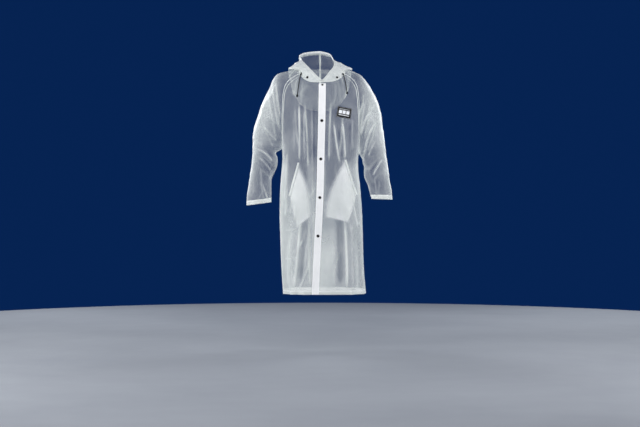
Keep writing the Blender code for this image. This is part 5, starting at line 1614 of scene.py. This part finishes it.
for surface, snaps in ((placket_surface, PLACKET_SNAPS), (hood_surface, HOOD_SNAPS)):
    for name, x, z, scale in snaps:
        seat = surface.at(x, z, SNAP_LIFT)
        out = surface.normal(x, z)
        made = lathe(f"{name}_cap", SNAP, TURNED_SIDES, seat, out, scale)
        piece(made, "black_plastic", name)

CORD_SIDES = 32
RING_STEP = 0.0007  # along a cord
BRAID_STRANDS = 6  # each way round
BRAID_PITCH = 0.0100  # a strand's one turn
BRAID_RELIEF = 0.00022  # how far a strand stands out
CORD_END_GAP = 0.0002  # from the cord's end to its end piece


def braided(name, route, diameter, sides=CORD_SIDES, step=RING_STEP):
    """A braided cord along a route, its centreline and its length."""
    path = smooth_path(route)
    far = run_lengths(path)
    wanted = np.linspace(0, far[-1], int(far[-1] / step) + 2)
    path = read_at(path, far, wanted)
    forward = unit(np.gradient(path, axis=0))
    aside = unit(np.cross(forward, (0.1, 1, 0.05)))
    raised = np.cross(aside, forward)
    angle = np.linspace(0, 2 * math.pi, sides, endpoint=False)[None]
    twist = 2 * math.pi * wanted[:, None] / BRAID_PITCH
    one = np.cos(BRAID_STRANDS / 2 * (angle + twist))
    two = np.cos(BRAID_STRANDS / 2 * (angle - twist))
    radius = diameter / 2 - BRAID_RELIEF + BRAID_RELIEF * np.maximum(one**2, two**2)
    spokes = aside[:, None] * np.cos(angle)[..., None] + raised[:, None] * np.sin(angle)[..., None]
    rings = path[:, None] + spokes * radius[..., None]
    numbers = np.arange(len(path) * sides).reshape(-1, sides).tolist()
    faces = [*ring_faces(numbers), numbers[0], numbers[-1][::-1]]
    return add_mesh(name, rings.reshape(-1, 3), faces, CORD_LOOK), path, float(far[-1])


def make_cord(side):
    name = SIDE_NAME[side]
    place, axis = (Vector(v) for v in EYELET_PLACE[side])
    eyelet = lathe(f"eyelet_ring_{name}", EYELET, TURNED_SIDES, place, axis)
    piece(eyelet, "black_plastic", f"eyelet_{name}")
    route = [np.array(p) for p in CORD_ROUTE[side]]
    made, path, length = braided(f"cord_{name}", route, CORD_DIAMETER)
    piece(made, "black_cord", f"drawcord_{name}")
    down = Vector(path[-1] - path[-2]).normalized()
    start = Vector(path[-1]) + down * CORD_END_GAP
    end = lathe(f"cord_end_piece_{name}", CORD_END, CORD_END_SIDES, start, down)
    piece(end, "black_plastic", f"cord_end_{name}")


# The cord inside the hood, which shows through the film: degrees round the neck and share of
# the way from the lap to the free edge.
HIDDEN_CORD = ((56, 0.045), (56.5, 0.14), (59, 0.34), (65, 0.58), (75, 0.80), (88, 0.92))
HIDDEN_TURNS = (*range(98, 180, 6), 179.6)  # from here it follows the rim, in its channel
HIDDEN_DIAMETER = 0.0030
HIDDEN_SIDES, HIDDEN_STEP = 16, 0.0014


def hood_spot(side, turn, share, under):
    """A place this far under the hood's outer side."""
    grid = hoods[side]
    i = share * (len(grid) - 1)
    k = turn / 180 * (grid.shape[1] - 1)
    i0, k0 = min(int(i), len(grid) - 2), min(int(k), grid.shape[1] - 2)
    place = moved_out(grid, side, np.full(grid.shape[:2], -under))
    low = blend(place[i0, k0], place[i0, k0 + 1], k - k0)
    return blend(low, blend(place[i0 + 1, k0], place[i0 + 1, k0 + 1], k - k0), i - i0)


def rim_share(side, turn):
    """The share of the way up at which the middle of the channel lies."""
    grid = hoods[side]
    column = grid[:, int(round(turn / 180 * (grid.shape[1] - 1)))]
    return 1 - CHANNEL_WIDTH / 2 / run_lengths(column)[-1]


for side in (LEFT, RIGHT):
    make_cord(side)
    under = FILM + 0.0002 + HIDDEN_DIAMETER / 2
    route = [hood_spot(side, turn, share, under) for turn, share in HIDDEN_CORD]
    route += [hood_spot(side, turn, rim_share(side, turn), under) for turn in HIDDEN_TURNS]
    name = f"hidden_cord_{SIDE_NAME[side]}"
    piece(braided(name, route, HIDDEN_DIAMETER, HIDDEN_SIDES, HIDDEN_STEP)[0], "black_cord")

# ---- room, camera and light ----------------------------------------------------------------
FLOOR_Z = -1.463
FLOOR_RADIUS = 3.55
FLOOR_SIDES = 128
WALL_COLOUR = (0.002, 0.017, 0.084)
CAMERA_PLACE = (0.0, -7.0, -0.75)
LENS, SENSOR = 74.3, 36
COAT_MIDDLE = (0.0, 0.0, -0.70)


def make_floor():
    turns = [2 * math.pi * k / FLOOR_SIDES for k in range(FLOOR_SIDES)]
    ring = [(FLOOR_RADIUS * math.cos(t), FLOOR_RADIUS * math.sin(t), FLOOR_Z) for t in turns]
    made = add_mesh("floor", ring, [list(range(FLOOR_SIDES))], FLOOR_LOOK)


def make_world():
    world = bpy.data.worlds.new("room")
    world.use_nodes = True
    background = world.node_tree.nodes["Background"]
    background.inputs["Color"].default_value = (*WALL_COLOUR, 1)
    background.inputs["Strength"].default_value = 1.0
    bpy.context.scene.world = world


# A light's name, place, width, height, power and colour. Each faces the coat's middle.
LIGHTS = (
    ("side_right", (-3.0, -2.0, 0.0), 1.4, 2.4, 75, (1.0, 1.0, 1.0)),
    ("side_left", (3.0, -2.0, -0.1), 1.4, 2.4, 71, (1.0, 1.0, 1.0)),
    ("front", (-1.0, -4.6, 0.9), 1.6, 1.6, 63, (1.0, 0.99, 0.97)),
    ("above", (0.0, -1.6, 2.6), 2.2, 1.2, 26, (1.0, 1.0, 1.0)),
    ("rear_left", (2.4, 2.6, 1.0), 1.2, 2.4, 70, (0.97, 0.99, 1.0)),
    ("rear_right", (-2.4, 2.6, 1.0), 1.2, 2.4, 70, (0.97, 0.99, 1.0)),
)


def make_lights():
    for name, place, width, height, power, colour in LIGHTS:
        data = bpy.data.lights.new(name, "AREA")
        data.shape = "RECTANGLE"
        data.size, data.size_y = width, height
        data.energy = power
        data.color = colour
        made = bpy.data.objects.new(name, data)
        made.location = place
        aim = Vector(COAT_MIDDLE) - Vector(place)
        made.rotation_euler = aim.to_track_quat("-Z", "Y").to_euler()
        made.visible_camera = False
        bpy.context.scene.collection.objects.link(made)


def make_camera():
    data = bpy.data.cameras.new("camera")
    data.lens = LENS
    data.sensor_width = SENSOR
    made = bpy.data.objects.new("camera", data)
    made.location = CAMERA_PLACE
    made.rotation_euler = (math.radians(90), 0, 0)
    bpy.context.scene.collection.objects.link(made)
    bpy.context.scene.camera = made


make_floor()
make_world()
make_lights()
make_camera()
bpy.context.scene.cycles.transparent_max_bounces = 64
bpy.context.scene.view_settings.view_transform = "Standard"
